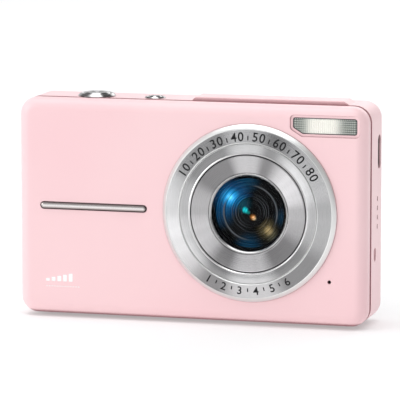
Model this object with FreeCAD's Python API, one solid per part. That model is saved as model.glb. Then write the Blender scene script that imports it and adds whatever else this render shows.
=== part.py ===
"""Compact digital camera with a fixed lens, as an assembly of separate pieces.

Millimetres, +Z up, -Y is the front (lens) side, +X is to the right when facing the lens.
The origin is under the middle of the camera, on the surface that its two feet stand on.
Each piece is written to parts/NODE.step; a node of identical pieces holds them as separate solids.
"""

import FreeCAD
import Part
import math
import os

from FreeCAD import Vector

# ---------------------------------------------------------------- driving dimensions: casing
WIDTH = 96.8                      # along X
HEIGHT = 59.0                     # along Z, without the feet
FOOT_HEIGHT = 0.8
CORNER_R = 4.6                    # corners of the outline, seen from the front
WALL = 1.4
FRONT_Y = -9.0                    # flat face of the front cover
SEAM_FRONT_Y = -4.6               # the middle frame shows between these two depths
SEAM_REAR_Y = -2.8
SEAM_INSET = 0.3
BACK_Y = 10.6                     # flat face of the rear cover
FRONT_EDGE_R = 3.2
FRONT_INNER_R = 0.6
BACK_EDGE_R = 1.8
FIT = 0.1                         # clearance between pieces that do not move on each other

SIDE_X = WIDTH / 2
BASE_Z = FOOT_HEIGHT              # underside of the casing
TOP_Z = BASE_Z + HEIGHT
FRONT_INNER_Y = FRONT_Y + WALL
BACK_INNER_Y = BACK_Y - WALL
FLOOR_Z = BASE_Z + WALL           # inside of the bottom wall

# ---------------------------------------------------------------- lens
LENS_X = 16.4
LENS_Z = BASE_Z + 29.9
LENS_RING_R = 24.0
LENS_PROUD = 2.0                  # how far the rings stand out of the front cover
TEXT_BAND_R = 22.4                # outer edge of the marked band
STEP_R = 18.95                    # inner edge of the marked band
GROOVE_R = 16.0
GLASS_R = 10.15
BARREL_R = 5.9
NOSE_R = 5.25                     # front end of the barrel, in the baffle's hole
ELEMENT_R = 4.1
BAFFLE_Y = -7.4                   # deepest step of the baffle
BAFFLE_FLOOR = 0.4
HOLDER_Y0 = 2.2                   # front of the sensor holder's square base

# ---------------------------------------------------------------- flash, bar and microphone
FLASH_X = (28.3, 45.6)
FLASH_Z = (BASE_Z + 51.8, BASE_Z + 55.95)
FLASH_CUT = 1.6                   # height of the cut corner
FLASH_CUT_SLOPE = 1.6             # its width over its height
FLASH_FRAME = 0.85                # width of the shallow recess round the window
TUBE_Y = -5.7
REFLECTOR_R = 2.3
CAPACITOR_X, CAPACITOR_Y, CAPACITOR_R = 35.5, -1.6, 4.2
CAPACITOR_Z = (BASE_Z + 17.0, BASE_Z + 43.0)
BAR_X = (-42.1, -12.2)
BAR_Z = BASE_Z + 29.9
BAR_R = 0.95
MIC_X, MIC_Z, MIC_R = 38.4, BASE_Z + 12.2, 3.0

# ---------------------------------------------------------------- right side
USB_Y, USB_Z = 6.3, BASE_Z + 45.7
USB_LENGTH, USB_DEPTH = 8.94, 3.16
SPEAKER_Y = 4.3
SPEAKER_PITCH = 2.5
SPEAKER_HOLES_Z = [BASE_Z + 25.7 + SPEAKER_PITCH * i for i in range(4)]
STRAP_Y, STRAP_Z = 1.6, BASE_Z + 18.4
STRAP_PIN_X = 45.4

# ---------------------------------------------------------------- top
TOP_KEY_Y = 0.5
SHUTTER_X, SHUTTER_TRAVEL = -28.9, 0.8
SHUTTER_RING_R, SHUTTER_BORE_R = 5.1, 3.9
COLLAR_R = 5.7                    # round land of the rear cover that crosses the seam
CUP_FLOOR_Z = TOP_Z - 2.2
POWER_X, POWER_TRAVEL = -12.4, 0.4
POWER_RING_R, POWER_BORE_R = 2.85, 2.0
TOP_BOARD_Z = (TOP_Z - 7.2, TOP_Z - 6.4)
SHUTTER_SWITCH_Z = TOP_Z - 4.8    # top of the switch under the shutter button
POWER_SWITCH_Z = TOP_Z - 4.2
PAD_X = (-0.1, 40.6)              # raised strip, without its end ramps
PAD_HEIGHT = 1.05
PAD_REAR_Y = 4.6
PAD_PEG_R = 0.8

# ---------------------------------------------------------------- back
WINDOW_X = (-21.0, 43.8)
WINDOW_Z = (BASE_Z + 5.6, BASE_Z + 54.0)
WINDOW_THICK = 1.0
LCD_X, LCD_Z = 9.75, BASE_Z + 29.8
LCD_LENGTH, LCD_HEIGHT = 60.3, 42.7
LCD_Y = (6.2, 7.3, 8.9)           # back of the light box, its front, front of the panel
VIEW_LENGTH, VIEW_HEIGHT = 52.0, 39.2
PAD_KEY_X, PAD_KEY_Z = -34.5, BASE_Z + 28.0
NAV_R = (4.9, 9.1)                # inner and outer radius of the four arc keys
NAV_GAP = 1.5
OK_R = 3.3
KEY_R = 2.7
KEY_COLS_X = (-40.4, -28.6)
KEY_ROWS_Z = (BASE_Z + 42.0, BASE_Z + 14.0)
KEY_PROUD = 0.4
KEY_TRAVEL = 0.3
KEY_GAP = 0.15
FLANGE = 0.6                      # how far a key's flange reaches under the cover
ZOOM_Z = BASE_Z + 50.6
ZOOM_LENGTH, ZOOM_WIDTH = 15.0, 4.6
ZOOM_PIVOT_Y = 8.5
ZOOM_ARM = 5.2                    # from the pivot to each switch
LAMP_X, LAMP_R = -24.6, 0.8
CONTROL_BOARD_Y = (7.1, 7.6)
DOME_HEIGHT = 0.25
FLANGE_Y = (CONTROL_BOARD_Y[1] + DOME_HEIGHT + KEY_TRAVEL + 0.05, BACK_INNER_Y - 0.05)

# ---------------------------------------------------------------- boards, battery, card and door
BOARD_X = (-7.4, 42.4)
BOARD_Y = (3.7, 4.7)
BOARD_Z = (BASE_Z + 9.0, BASE_Z + 56.0)
BATTERY_X, BATTERY_Y, BATTERY_Z = -24.0, 1.4, BASE_Z + 1.6
BATTERY_SIZE = (30.0, 5.6, 40.0)
CONTACT_PITCH = 6.6
CARD_X, CARD_Y, CARD_Z = -31.0, 6.15, BASE_Z + 5.0
CARD_SIZE = (11.0, 0.8, 15.0)
CARD_PUSH = 0.6                   # over-travel that frees the latch
DOOR_X0 = -39.6
DOOR_Y = (-1.9, 8.1)
DOOR_THICK = 1.3
DOOR_GAP = 0.15
HINGE_X, HINGE_Z = -6.9, BASE_Z + 1.0
KNUCKLE_R, PIN_R = 1.0, 0.5
FOOT_X, FOOT_R, FOOT_Y = 41.6, 1.4, (-2.3, 7.6)
TRIPOD_X, TRIPOD_Y, TRIPOD_BODY_R = LENS_X, 2.0, 4.25
TRIPOD_R, TRIPOD_DEPTH = 2.55, 5.5   # minor radius of the 1/4-20 thread

# ---------------------------------------------------------------- screws, all of one size
SCREW_HEAD_R, SCREW_HEAD, SCREW_R, SCREW_LENGTH = 1.3, 0.7, 0.6, 4.6
SCREW_HOLE_R, SCREW_RECESS_R = 0.75, 1.4
FRONT_SCREWS = [(x, BASE_Z + h) for x, h in ((-43.4, 47.0), (-43.4, 6.0), (44.2, 44.6), (44.0, 6.0))]
STANDOFFS = [(x, BASE_Z + h) for x, h in ((-4.8, 12.0), (-4.8, 52.4), (38.4, 49.0), (29.4, 12.0))]
BOTTOM_SCREWS_X = (0.0, 30.0)
CASE_SCREW_Y = 0.6
SIDE_SCREW_Z = BASE_Z + 52.0


# ---------------------------------------------------------------- small builders
def box(x0, x1, y0, y1, z0, z1):
    return Part.makeBox(x1 - x0, y1 - y0, z1 - z0, Vector(x0, y0, z0))


def rod_x(y, z, r, x0, x1):
    return Part.makeCylinder(r, x1 - x0, Vector(x0, y, z), Vector(1, 0, 0))


def rod_y(x, z, r, y0, y1):
    return Part.makeCylinder(r, y1 - y0, Vector(x, y0, z), Vector(0, 1, 0))


def rod_z(x, y, r, z0, z1):
    return Part.makeCylinder(r, z1 - z0, Vector(x, y, z0), Vector(0, 0, 1))


def union(shapes):
    return shapes[0].multiFuse(shapes[1:]).removeSplitter()


def without(shape, cutters):
    for cutter in cutters:
        shape = shape.cut(cutter)
    return shape


def along(shape, direction):
    """The straight edges that run along direction."""
    return [e for e in shape.Edges if abs(e.tangentAt(e.FirstParameter).dot(direction)) > 0.999]


def edges_at_y(shape, y):
    return [e for e in shape.Edges if abs(e.BoundBox.YMin - y) < 1e-4 and abs(e.BoundBox.YMax - y) < 1e-4]


def edges_at_z(shape, z):
    return [e for e in shape.Edges if abs(e.BoundBox.ZMin - z) < 1e-4 and abs(e.BoundBox.ZMax - z) < 1e-4]


def prism_y(points_xz, y0, y1):
    """A prism along Y from corner points given as (x, z)."""
    corners = [Vector(x, y0, z) for x, z in points_xz]
    face = Part.Face(Part.makePolygon(corners + corners[:1]))
    return face.extrude(Vector(0, y1 - y0, 0))


def rounded_slab(x_span, z_span, r, y0, y1):
    """A plate in the XZ plane with round corners, from y0 to y1."""
    plate = box(*x_span, y0, y1, *z_span)
    return plate.makeFillet(r, along(plate, Vector(0, 1, 0)))


def stadium_y(x0, x1, z, r, y0, y1):
    """A round-ended bar along X, as deep as y0 to y1."""
    ends = [rod_y(x0 + r, z, r, y0, y1), rod_y(x1 - r, z, r, y0, y1)]
    return union(ends + [box(x0 + r, x1 - r, y0, y1, z - r, z + r)])


def stadium_x(y, z0, z1, r, x0, x1):
    """A round-ended slot along Z, seen along X."""
    ends = [rod_x(y, z0 + r, r, x0, x1), rod_x(y, z1 - r, r, x0, x1)]
    return union(ends + [box(x0, x1, y - r, y + r, z0 + r, z1 - r)])


def casing_block(y0, y1, inset=0.0):
    """The casing's outline between two depths, set in by inset all round."""
    x_span = (inset - SIDE_X, SIDE_X - inset)
    return rounded_slab(x_span, (BASE_Z + inset, TOP_Z - inset), CORNER_R - inset, y0, y1)


def turned_y(profile):
    """A ring or disc on the optical axis; the profile is (radius, y) points."""
    corners = [Vector(LENS_X + r, y, LENS_Z) for r, y in profile]
    face = Part.Face(Part.makePolygon(corners + corners[:1]))
    return face.revolve(Vector(LENS_X, 0, LENS_Z), Vector(0, 1, 0), 360)


def turned_z(profile, x, y):
    """A ring or disc about an upright axis; the profile is (radius, z) points."""
    corners = [Vector(x + r, y, z) for r, z in profile]
    face = Part.Face(Part.makePolygon(corners + corners[:1]))
    return face.revolve(Vector(x, y, 0), Vector(0, 0, 1), 360)


def lens_disc(r, rim_front, rim_back, crown_front, crown_back):
    """A glass disc on the optical axis: where each face meets the rim, and where it meets the axis."""
    def point(radius, y):
        return Vector(LENS_X + radius, y, LENS_Z)

    def face_line(rim, crown):
        sag = crown - rim
        if abs(sag) < 1e-6:
            return Part.makeLine(point(0, crown), point(r, rim))
        ball = (r ** 2 + sag ** 2) / (2 * abs(sag))
        drop = ball - math.sqrt(ball ** 2 - (r / 2) ** 2)
        return Part.Arc(point(0, crown), point(r / 2, crown - math.copysign(drop, sag)), point(r, rim)).toShape()

    outline = Part.Wire([
        face_line(rim_front, crown_front),
        Part.makeLine(point(r, rim_front), point(r, rim_back)),
        face_line(rim_back, crown_back),
        Part.makeLine(point(0, crown_back), point(0, crown_front)),
    ])
    return Part.Face(outline).revolve(Vector(LENS_X, 0, LENS_Z), Vector(0, 1, 0), 360)


def flash_block(margin, y0, y1, r):
    """The flash outline, grown by margin: a rectangle whose corner next to the lens is cut off."""
    x0, x1 = FLASH_X[0] - margin, FLASH_X[1] + margin
    z0, z1 = FLASH_Z[0] - margin, FLASH_Z[1] + margin
    cut = FLASH_CUT + margin * 0.45
    outline = [(x0, z1), (x0, z0 + cut), (x0 + cut * FLASH_CUT_SLOPE, z0), (x1, z0), (x1, z1)]
    block = prism_y(outline, y0, y1)
    return block.makeFillet(r, along(block, Vector(0, 1, 0)))


def nav_sectors(grow, y0, y1):
    """The four arc keys round the centre key, grown by grow, as [up, right, down, left]."""
    ring = rod_y(PAD_KEY_X, PAD_KEY_Z, NAV_R[1] + grow, y0, y1)
    ring = ring.cut(rod_y(PAD_KEY_X, PAD_KEY_Z, NAV_R[0] - grow, y0, y1))
    reach, half_gap = NAV_R[1] + 2, NAV_GAP / 2 - grow
    for angle in (45, -45):
        bar = box(-reach, reach, y0, y1, -half_gap, half_gap)
        bar.rotate(Vector(0, 0, 0), Vector(0, 1, 0), angle)
        bar.translate(Vector(PAD_KEY_X, 0, PAD_KEY_Z))
        ring = ring.cut(bar)
    sectors = {}
    for solid in ring.Solids:
        off = solid.CenterOfMass - Vector(PAD_KEY_X, 0, PAD_KEY_Z)
        sectors[round(math.degrees(math.atan2(off.x, off.z)) / 90) % 4] = solid
    return [sectors[i] for i in range(4)]


def shutter_clearance():
    return rod_z(SHUTTER_X, TOP_KEY_Y, COLLAR_R + KEY_GAP, TOP_Z - 4, TOP_Z + 1)


# ---------------------------------------------------------------- casing
def front_cover():
    outer = casing_block(FRONT_Y, SEAM_FRONT_Y)
    outer = outer.makeFillet(FRONT_EDGE_R, edges_at_y(outer, FRONT_Y))
    inner = casing_block(FRONT_INNER_Y, SEAM_FRONT_Y, WALL)
    inner = inner.makeFillet(FRONT_INNER_R, edges_at_y(inner, FRONT_INNER_Y))
    bosses = [rod_y(x, z, 1.8, FRONT_INNER_Y - 0.3, SEAM_FRONT_Y) for x, z in FRONT_SCREWS]
    seat = BAR_R + FIT
    ahead, behind = FRONT_Y - 1, FRONT_INNER_Y + 1
    openings = [
        rod_y(LENS_X, LENS_Z, LENS_RING_R - 2.0, ahead, behind),
        flash_block(FIT, ahead, behind, 0.7),
        flash_block(FLASH_FRAME, ahead, FRONT_Y + 0.35, 1.2),
        stadium_y(BAR_X[0] - FIT, BAR_X[1] + FIT, BAR_Z, seat, ahead, FRONT_Y + 0.8),
        rod_y(MIC_X, MIC_Z, 0.5, ahead, behind),
        shutter_clearance(),
    ]
    pilots = [rod_y(x, z, SCREW_R, FRONT_INNER_Y, SEAM_FRONT_Y + 1) for x, z in FRONT_SCREWS]
    return without(union([outer.cut(inner)] + bosses), openings + pilots)


def mid_frame():
    """The plate between the covers: it shows in the seam and carries the boards."""
    back = SEAM_REAR_Y - 0.2
    tongue = casing_block(SEAM_FRONT_Y - 0.9, SEAM_FRONT_Y, WALL + FIT)
    tongue = tongue.cut(casing_block(SEAM_FRONT_Y - 0.9, SEAM_FRONT_Y, WALL + FIT + 0.8))
    tongue = without(tongue, [rod_y(x, z, 2.4, SEAM_FRONT_Y - 2, SEAM_FRONT_Y) for x, z in FRONT_SCREWS])
    carried = [rod_y(x, z, 2.0, back, BOARD_Y[0]) for x, z in STANDOFFS]
    carried += [box(x - 2.4, x + 2.4, back, 3.0, FLOOR_Z, FLOOR_Z + 4.2) for x in BOTTOM_SCREWS_X]
    carried.append(box(WALL - SIDE_X, WALL - SIDE_X + 5, back, 3.0, SIDE_SCREW_Z - 2.1, SIDE_SCREW_Z + 2.1))
    carried += [box(x - 1.2, x + 1.2, back, 3.0, TOP_BOARD_Z[0] - 1.2, TOP_BOARD_Z[0]) for x in (-34.6, -20.6, -9.4)]
    front, rear = SEAM_FRONT_Y - 2, SEAM_REAR_Y + 1
    openings = [
        rod_y(LENS_X, LENS_Z, 11.5, front, rear),
        box(27.2, 46.6, front, rear, FLASH_Z[0] - 0.4, FLASH_Z[1] + 1.6),
        box(CAPACITOR_X - 4.7, CAPACITOR_X + 4.7, front, rear, CAPACITOR_Z[0] - 1.6, CAPACITOR_Z[1] + 1.6),
        box(MIC_X - 3.5, MIC_X + 3.5, front, rear, MIC_Z - 3.5, MIC_Z + 3.2),
        shutter_clearance(),
    ]
    for x, z in FRONT_SCREWS:
        openings.append(rod_y(x, z, SCREW_HOLE_R, front, rear))
        openings.append(rod_y(x, z, SCREW_RECESS_R, SEAM_REAR_Y - 0.8, rear))
    openings += [rod_y(x, z, SCREW_R, BOARD_Y[0] - 4.5, BOARD_Y[0] + 1) for x, z in STANDOFFS]
    openings += [rod_z(x, CASE_SCREW_Y, SCREW_R, 0, BASE_Z + 4.8) for x in BOTTOM_SCREWS_X]
    openings.append(rod_x(CASE_SCREW_Y, SIDE_SCREW_Z, SCREW_R, -SIDE_X, 4.8 - SIDE_X))
    plate = casing_block(SEAM_FRONT_Y, SEAM_REAR_Y, SEAM_INSET)
    return without(union([plate, tongue] + carried), openings)


def key_openings():
    """The holes that the rear keys and the lamp come through."""
    y0, y1 = BACK_INNER_Y - 1, BACK_Y + 1
    half, r = ZOOM_LENGTH / 2 + 0.2, ZOOM_WIDTH / 2 + 0.2
    holes = nav_sectors(KEY_GAP, y0, y1)
    holes.append(rod_y(PAD_KEY_X, PAD_KEY_Z, OK_R + KEY_GAP, y0, y1))
    holes += [rod_y(x, z, KEY_R + KEY_GAP, y0, y1) for x in KEY_COLS_X for z in KEY_ROWS_Z]
    holes.append(stadium_y(PAD_KEY_X - half, PAD_KEY_X + half, ZOOM_Z, r, y0, y1))
    holes.append(rod_y(LAMP_X, ZOOM_Z, LAMP_R, y0, y1))
    return holes


def strap_pocket(margin, x0, x1):
    """The pocket behind the strap slot, in which the cord's loop goes round the pin."""
    y0, y1 = STRAP_Y - 2.6 - margin, STRAP_Y + 1.3 + margin
    return box(x0, x1, y0, y1, STRAP_Z - 2.7 - margin, STRAP_Z + 2.7 + margin)


def hinge_lugs():
    """Two lugs of the rear cover that hold the ends of the door's pin."""
    spans = ((SEAM_REAR_Y, DOOR_Y[0] - DOOR_GAP), (DOOR_Y[1] + DOOR_GAP, DOOR_Y[1] + 1.0))
    return [box(HINGE_X - 1.6, HINGE_X + 1.8, y0, y1, BASE_Z + 0.2, HINGE_Z + 1.5) for y0, y1 in spans]


def zoom_lugs():
    """Two lugs behind the rear cover in which the rocker's stubs turn."""
    off = ZOOM_WIDTH / 2 + 0.9
    return [
        box(PAD_KEY_X - 1.0, PAD_KEY_X + 1.0, ZOOM_PIVOT_Y - 0.8, BACK_INNER_Y + 0.2, z - 0.5, z + 0.5)
        for z in (ZOOM_Z - off, ZOOM_Z + off)
    ]


def door_opening():
    y0, y1 = DOOR_Y[0] - DOOR_GAP, DOOR_Y[1] + DOOR_GAP
    flat = box(DOOR_X0 - DOOR_GAP, HINGE_X, y0, y1, 0, FLOOR_Z + 1.4)
    knuckle = rod_y(HINGE_X, HINGE_Z, KNUCKLE_R + 2 * DOOR_GAP, y0, y1)
    below = box(HINGE_X, HINGE_X + KNUCKLE_R + 2 * DOOR_GAP, y0, y1, 0, HINGE_Z)
    return union([flat, knuckle, below])


def side_openings():
    """Slots of the right wall: strap, charging socket and four sound holes."""
    x0, x1 = SIDE_X - WALL - 0.5, SIDE_X + 1
    half = USB_LENGTH / 2 + 0.15
    slots = [
        stadium_x(STRAP_Y, STRAP_Z - 1.85, STRAP_Z + 1.85, 1.3, x0, x1),
        stadium_x(USB_Y, USB_Z - half, USB_Z + half, USB_DEPTH / 2 + 0.1, x0, x1),
    ]
    return slots + [stadium_x(SPEAKER_Y, z - 0.7, z + 0.7, 0.4, x0, x1) for z in SPEAKER_HOLES_Z]


def rear_cover():
    outer = casing_block(SEAM_REAR_Y, BACK_Y)
    outer = outer.makeFillet(BACK_EDGE_R, edges_at_y(outer, BACK_Y))
    inner = casing_block(SEAM_REAR_Y, BACK_INNER_Y, WALL)
    collar = rod_z(SHUTTER_X, TOP_KEY_Y, COLLAR_R, TOP_Z - 1.9, TOP_Z)
    pocket = strap_pocket(0.8, 42.9, SIDE_X - WALL + 0.2)
    shell = union([outer.cut(inner), collar, pocket] + hinge_lugs() + zoom_lugs())
    view_x = (LCD_X - VIEW_LENGTH / 2, LCD_X + VIEW_LENGTH / 2)
    view_z = (LCD_Z - VIEW_HEIGHT / 2, LCD_Z + VIEW_HEIGHT / 2)
    pane_x = (WINDOW_X[0] - FIT, WINDOW_X[1] + FIT)
    pane_z = (WINDOW_Z[0] - FIT, WINDOW_Z[1] + FIT)
    zoom_reach = ZOOM_WIDTH / 2 + 1.4
    zoom_stubs = rod_z(PAD_KEY_X, ZOOM_PIVOT_Y, 0.55, ZOOM_Z - zoom_reach, ZOOM_Z + zoom_reach)
    cutters = [
        strap_pocket(0.0, 43.7, SIDE_X - WALL),
        rod_z(SHUTTER_X, TOP_KEY_Y, 4.6, TOP_Z - 4, TOP_Z + 1),
        rod_z(POWER_X, TOP_KEY_Y, 2.5, TOP_Z - 4, TOP_Z + 1),
        rounded_slab(pane_x, pane_z, 2.0, BACK_Y - WINDOW_THICK, BACK_Y + 1),
        box(*view_x, BACK_INNER_Y - 1, BACK_Y, *view_z),
        door_opening(),
        rod_y(HINGE_X, HINGE_Z, PIN_R, SEAM_REAR_Y + 0.35, DOOR_Y[1] + 0.8),
        rod_z(TRIPOD_X, TRIPOD_Y, TRIPOD_BODY_R, 0, FLOOR_Z + 1),
        zoom_stubs,
        rod_x(CASE_SCREW_Y, SIDE_SCREW_Z, SCREW_HOLE_R, -SIDE_X - 1, WALL - SIDE_X + 0.1),
        rod_x(CASE_SCREW_Y, SIDE_SCREW_Z, SCREW_RECESS_R, -SIDE_X - 1, 0.8 - SIDE_X),
    ]
    cutters += [rod_z(x, 1.0, PAD_PEG_R, TOP_Z - 1.0, TOP_Z + 1) for x in pad_pegs_x()]
    for x in BOTTOM_SCREWS_X:
        cutters.append(rod_z(x, CASE_SCREW_Y, SCREW_HOLE_R, 0, FLOOR_Z + 0.1))
        cutters.append(rod_z(x, CASE_SCREW_Y, SCREW_RECESS_R, 0, BASE_Z + 0.8))
    return without(shell, cutters + side_openings() + key_openings())


def pad_pegs_x():
    return (PAD_X[0] + 5, PAD_X[1] - 5)


def top_pad():
    """The raised strip on the top edge, with ramps at its ends and two pegs below."""
    top = TOP_Z + PAD_HEIGHT
    outline = [(PAD_X[0] - PAD_HEIGHT, TOP_Z), (PAD_X[0], top), (PAD_X[1], top), (PAD_X[1] + 1.6, TOP_Z)]
    pad = prism_y(outline, SEAM_REAR_Y, PAD_REAR_Y)
    pad = pad.makeFillet(0.3, edges_at_z(pad, top))
    return union([pad] + [rod_z(x, 1.0, PAD_PEG_R, TOP_Z - 0.9, TOP_Z + 0.2) for x in pad_pegs_x()])


def trim_bar():
    crest = FRONT_Y - 0.45
    bar = stadium_y(*BAR_X, BAR_Z, BAR_R, crest, FRONT_Y + 0.8)
    return bar.makeFillet(0.6, edges_at_y(bar, crest))


def feet():
    """Two rubber runners, one under each end of the casing."""
    made = []
    for x in (-FOOT_X, FOOT_X):
        ends = [rod_z(x, y, FOOT_R, 0, BASE_Z) for y in (FOOT_Y[0] + FOOT_R, FOOT_Y[1] - FOOT_R)]
        middle = box(x - FOOT_R, x + FOOT_R, FOOT_Y[0] + FOOT_R, FOOT_Y[1] - FOOT_R, 0, BASE_Z)
        foot = union(ends + [middle])
        made.append(foot.makeFillet(0.25, edges_at_z(foot, 0)))
    return Part.makeCompound(made)


# ---------------------------------------------------------------- lens
def lens_trim_ring():
    """The outer ring: a bright bevel, then the marked band, which rises towards its inner edge."""
    return turned_y([
        (LENS_RING_R, FRONT_Y), (LENS_RING_R, FRONT_Y - 0.3), (LENS_RING_R - 0.25, FRONT_Y - 0.55),
        (TEXT_BAND_R, FRONT_Y - 1.35), (STEP_R, FRONT_Y - LENS_PROUD), (STEP_R, FRONT_INNER_Y),
        (LENS_RING_R - 2.1, FRONT_INNER_Y), (LENS_RING_R - 2.1, FRONT_Y),
    ])


def lens_middle_ring():
    face = FRONT_Y - LENS_PROUD + 0.08
    outer, inner = STEP_R - FIT, GROOVE_R + FIT
    return turned_y([
        (outer, face + 0.2), (outer - 0.2, face), (inner + 0.2, face), (inner, face + 0.2),
        (inner, FRONT_INNER_Y), (outer, FRONT_INNER_Y),
    ])


def lens_cone():
    """The dished ring that leads in to the glass."""
    outer, inner = GROOVE_R - 0.2, GLASS_R + 0.85
    face = FRONT_Y - LENS_PROUD + 0.1
    return turned_y([
        (outer, face + 0.25), (outer - 0.25, face), (inner, FRONT_Y - 1.4),
        (inner, FRONT_INNER_Y), (outer, FRONT_INNER_Y),
    ])


def lens_bezel():
    """The thin bright rim that holds the cover glass on an inner seat."""
    face, outer, seat = FRONT_Y - 1.45, GLASS_R + 0.8, FRONT_Y - 0.2
    return turned_y([
        (outer, face + 0.1), (outer - 0.15, face), (outer - 0.4, face), (GLASS_R + FIT, face + 0.35),
        (GLASS_R + FIT, seat), (GLASS_R - 0.75, seat), (GLASS_R - 0.75, FRONT_INNER_Y), (outer, FRONT_INNER_Y),
    ])


def lens_mount_plate():
    """The plate behind the front cover that the rings are bonded to."""
    outer, inner = LENS_RING_R + 0.6, GLASS_R
    back = FRONT_INNER_Y + 1.0
    return turned_y([(outer, FRONT_INNER_Y), (outer, back), (inner, back), (inner, FRONT_INNER_Y)])


def cover_glass():
    seat = FRONT_Y - 0.2
    return lens_disc(GLASS_R, seat - 0.6, seat, seat - 0.95, seat - 0.3)


def lens_baffle():
    """The shallow stepped funnel between the cover glass and the barrel's nose."""
    steps, r0, r1 = 5, GLASS_R - 0.85, NOSE_R + FIT
    y0, rise = FRONT_Y + 0.7, 0.12
    inner = []
    for i in range(1, steps + 1):
        r = r0 + (r1 - r0) * i / steps
        y = y0 + (BAFFLE_Y - y0) * i / steps
        inner += [(r, y - rise), (r, y)]
    rim, back = GLASS_R - 0.15, BAFFLE_Y + BAFFLE_FLOOR
    outer = [(r1, back), (rim, back), (rim, FRONT_INNER_Y), (r0, FRONT_INNER_Y)]
    return turned_y([(r0, y0)] + inner + outer)


def lens_barrel():
    """The threaded sleeve that holds the elements, with a narrower nose in the baffle's hole."""
    front, shoulder, back = BAFFLE_Y - 0.1, BAFFLE_Y + BAFFLE_FLOOR + 0.1, 1.4
    seat = ELEMENT_R + 0.05
    return turned_y([
        (NOSE_R, front), (NOSE_R, shoulder), (BARREL_R, shoulder), (BARREL_R, back),
        (ELEMENT_R - 0.2, back), (ELEMENT_R - 0.2, 0.4), (seat, 0.4), (seat, front),
    ])


def lens_elements():
    """Three glass elements in the barrel, front to back."""
    return Part.makeCompound([
        lens_disc(ELEMENT_R, BAFFLE_Y + 0.5, BAFFLE_Y + 1.1, BAFFLE_Y + 0.1, BAFFLE_Y + 1.1),
        lens_disc(ELEMENT_R, -3.6, -3.0, -3.45, -3.2),
        lens_disc(ELEMENT_R, -0.35, 0.1, -0.6, 0.35),
    ])


def lens_holder():
    """The square base over the sensor, with the sleeve's threaded tube."""
    base = box(LENS_X - 7, LENS_X + 7, HOLDER_Y0, BOARD_Y[0], LENS_Z - 7, LENS_Z + 7)
    tube = rod_y(LENS_X, LENS_Z, 7.2, -1.8, HOLDER_Y0 + 0.1)
    well = box(LENS_X - 4.6, LENS_X + 4.6, 2.4, BOARD_Y[0], LENS_Z - 4.6, LENS_Z + 4.6)
    light = box(LENS_X - 3.1, LENS_X + 3.1, 1.3, 2.5, LENS_Z - 3.1, LENS_Z + 3.1)
    bore = rod_y(LENS_X, LENS_Z, BARREL_R + 0.05, -2, 1.5)
    return without(union([base, tube]), [well, light, bore])


def ir_filter():
    return box(LENS_X - 4.0, LENS_X + 4.0, 2.42, 2.72, LENS_Z - 4.0, LENS_Z + 4.0)


def image_sensor():
    package = box(LENS_X - 4.2, LENS_X + 4.2, 2.85, BOARD_Y[0], LENS_Z - 4.2, LENS_Z + 4.2)
    return package.cut(box(LENS_X - 3.0, LENS_X + 3.0, 2.6, 3.05, LENS_Z - 2.4, LENS_Z + 2.4))


# ---------------------------------------------------------------- flash, microphone, speaker, sockets
def flash_window():
    pane = flash_block(0.0, FRONT_Y + 0.2, FRONT_INNER_Y, 0.6)
    return union([pane, flash_block(0.5, FRONT_INNER_Y, FRONT_INNER_Y + 0.5, 0.6)])


def flash_reflector():
    """A polished trough behind the window; its end plates carry the tube."""
    x0, x1 = FLASH_X[0] + 0.9, FLASH_X[1] - 0.4
    z, r, skin = sum(FLASH_Z) / 2, REFLECTOR_R, 0.4
    mouth_y = FRONT_INNER_Y + 0.6
    outside = union([box(x0, x1, mouth_y, TUBE_Y, z - r, z + r), rod_x(TUBE_Y, z, r, x0, x1)])
    outside = outside.common(box(x0, x1, mouth_y, TUBE_Y + r, z - r, z + r))
    hollow = union([
        box(x0 + skin, x1 - skin, mouth_y - 1, TUBE_Y, z - r + skin, z + r - skin),
        rod_x(TUBE_Y, z, r - skin, x0 + skin, x1 - skin),
    ])
    return without(outside, [hollow, rod_x(TUBE_Y, z, 1.05, x0 - 1, x1 + 1)])


def flash_tube():
    return rod_x(TUBE_Y, sum(FLASH_Z) / 2, 1.0, FLASH_X[0] + 0.2, FLASH_X[1] + 0.3)


def flash_capacitor():
    can = rod_z(CAPACITOR_X, CAPACITOR_Y, CAPACITOR_R, *CAPACITOR_Z)
    can = can.makeFillet(0.5, edges_at_z(can, CAPACITOR_Z[1]))
    foot = CAPACITOR_Z[0]
    return union([can] + [rod_z(CAPACITOR_X + dx, CAPACITOR_Y, 0.3, foot - 1, foot + 0.2) for dx in (-1.5, 1.5)])


def microphone():
    capsule = rod_y(MIC_X, MIC_Z, MIC_R, FRONT_INNER_Y, FRONT_INNER_Y + 2.6)
    return capsule.cut(rod_y(MIC_X, MIC_Z, 0.6, FRONT_INNER_Y - 1, FRONT_INNER_Y + 1))


def speaker():
    """A flat box with a domed cone that faces the sound holes."""
    z0, z1 = STRAP_Z + 3.8, SPEAKER_HOLES_Z[-1] + 4.2
    face = SIDE_X - WALL
    middle = (z0 + z1) / 2
    body = box(face - 3.6, face, SPEAKER_Y - 3.5, SPEAKER_Y + 3.5, z0, z1)
    mouth = stadium_x(SPEAKER_Y, z0 + 0.8, z1 - 0.8, 2.7, face - 0.8, SIDE_X)
    ball = Part.makeSphere(5.0, Vector(face - 5.4, SPEAKER_Y, middle))
    dome = ball.common(rod_x(SPEAKER_Y, middle, 2.1, face - 1.0, face))
    return union([body.cut(mouth), dome])


def usb_port():
    """A reversible charging and data socket: a stadium shell with a tongue inside."""
    half, r, skin = USB_LENGTH / 2, USB_DEPTH / 2, 0.3
    x0, x1 = SIDE_X - 8.0, SIDE_X - 0.5
    shell = stadium_x(USB_Y, USB_Z - half, USB_Z + half, r, x0, x1)
    inside = stadium_x(USB_Y, USB_Z - half + skin, USB_Z + half - skin, r - skin, x0 + 1.2, x1 + 1)
    tongue = box(x0 + 1.0, x1 - 0.9, USB_Y - 0.35, USB_Y + 0.35, USB_Z - 3.3, USB_Z + 3.3)
    return union([shell.cut(inside), tongue])


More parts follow.
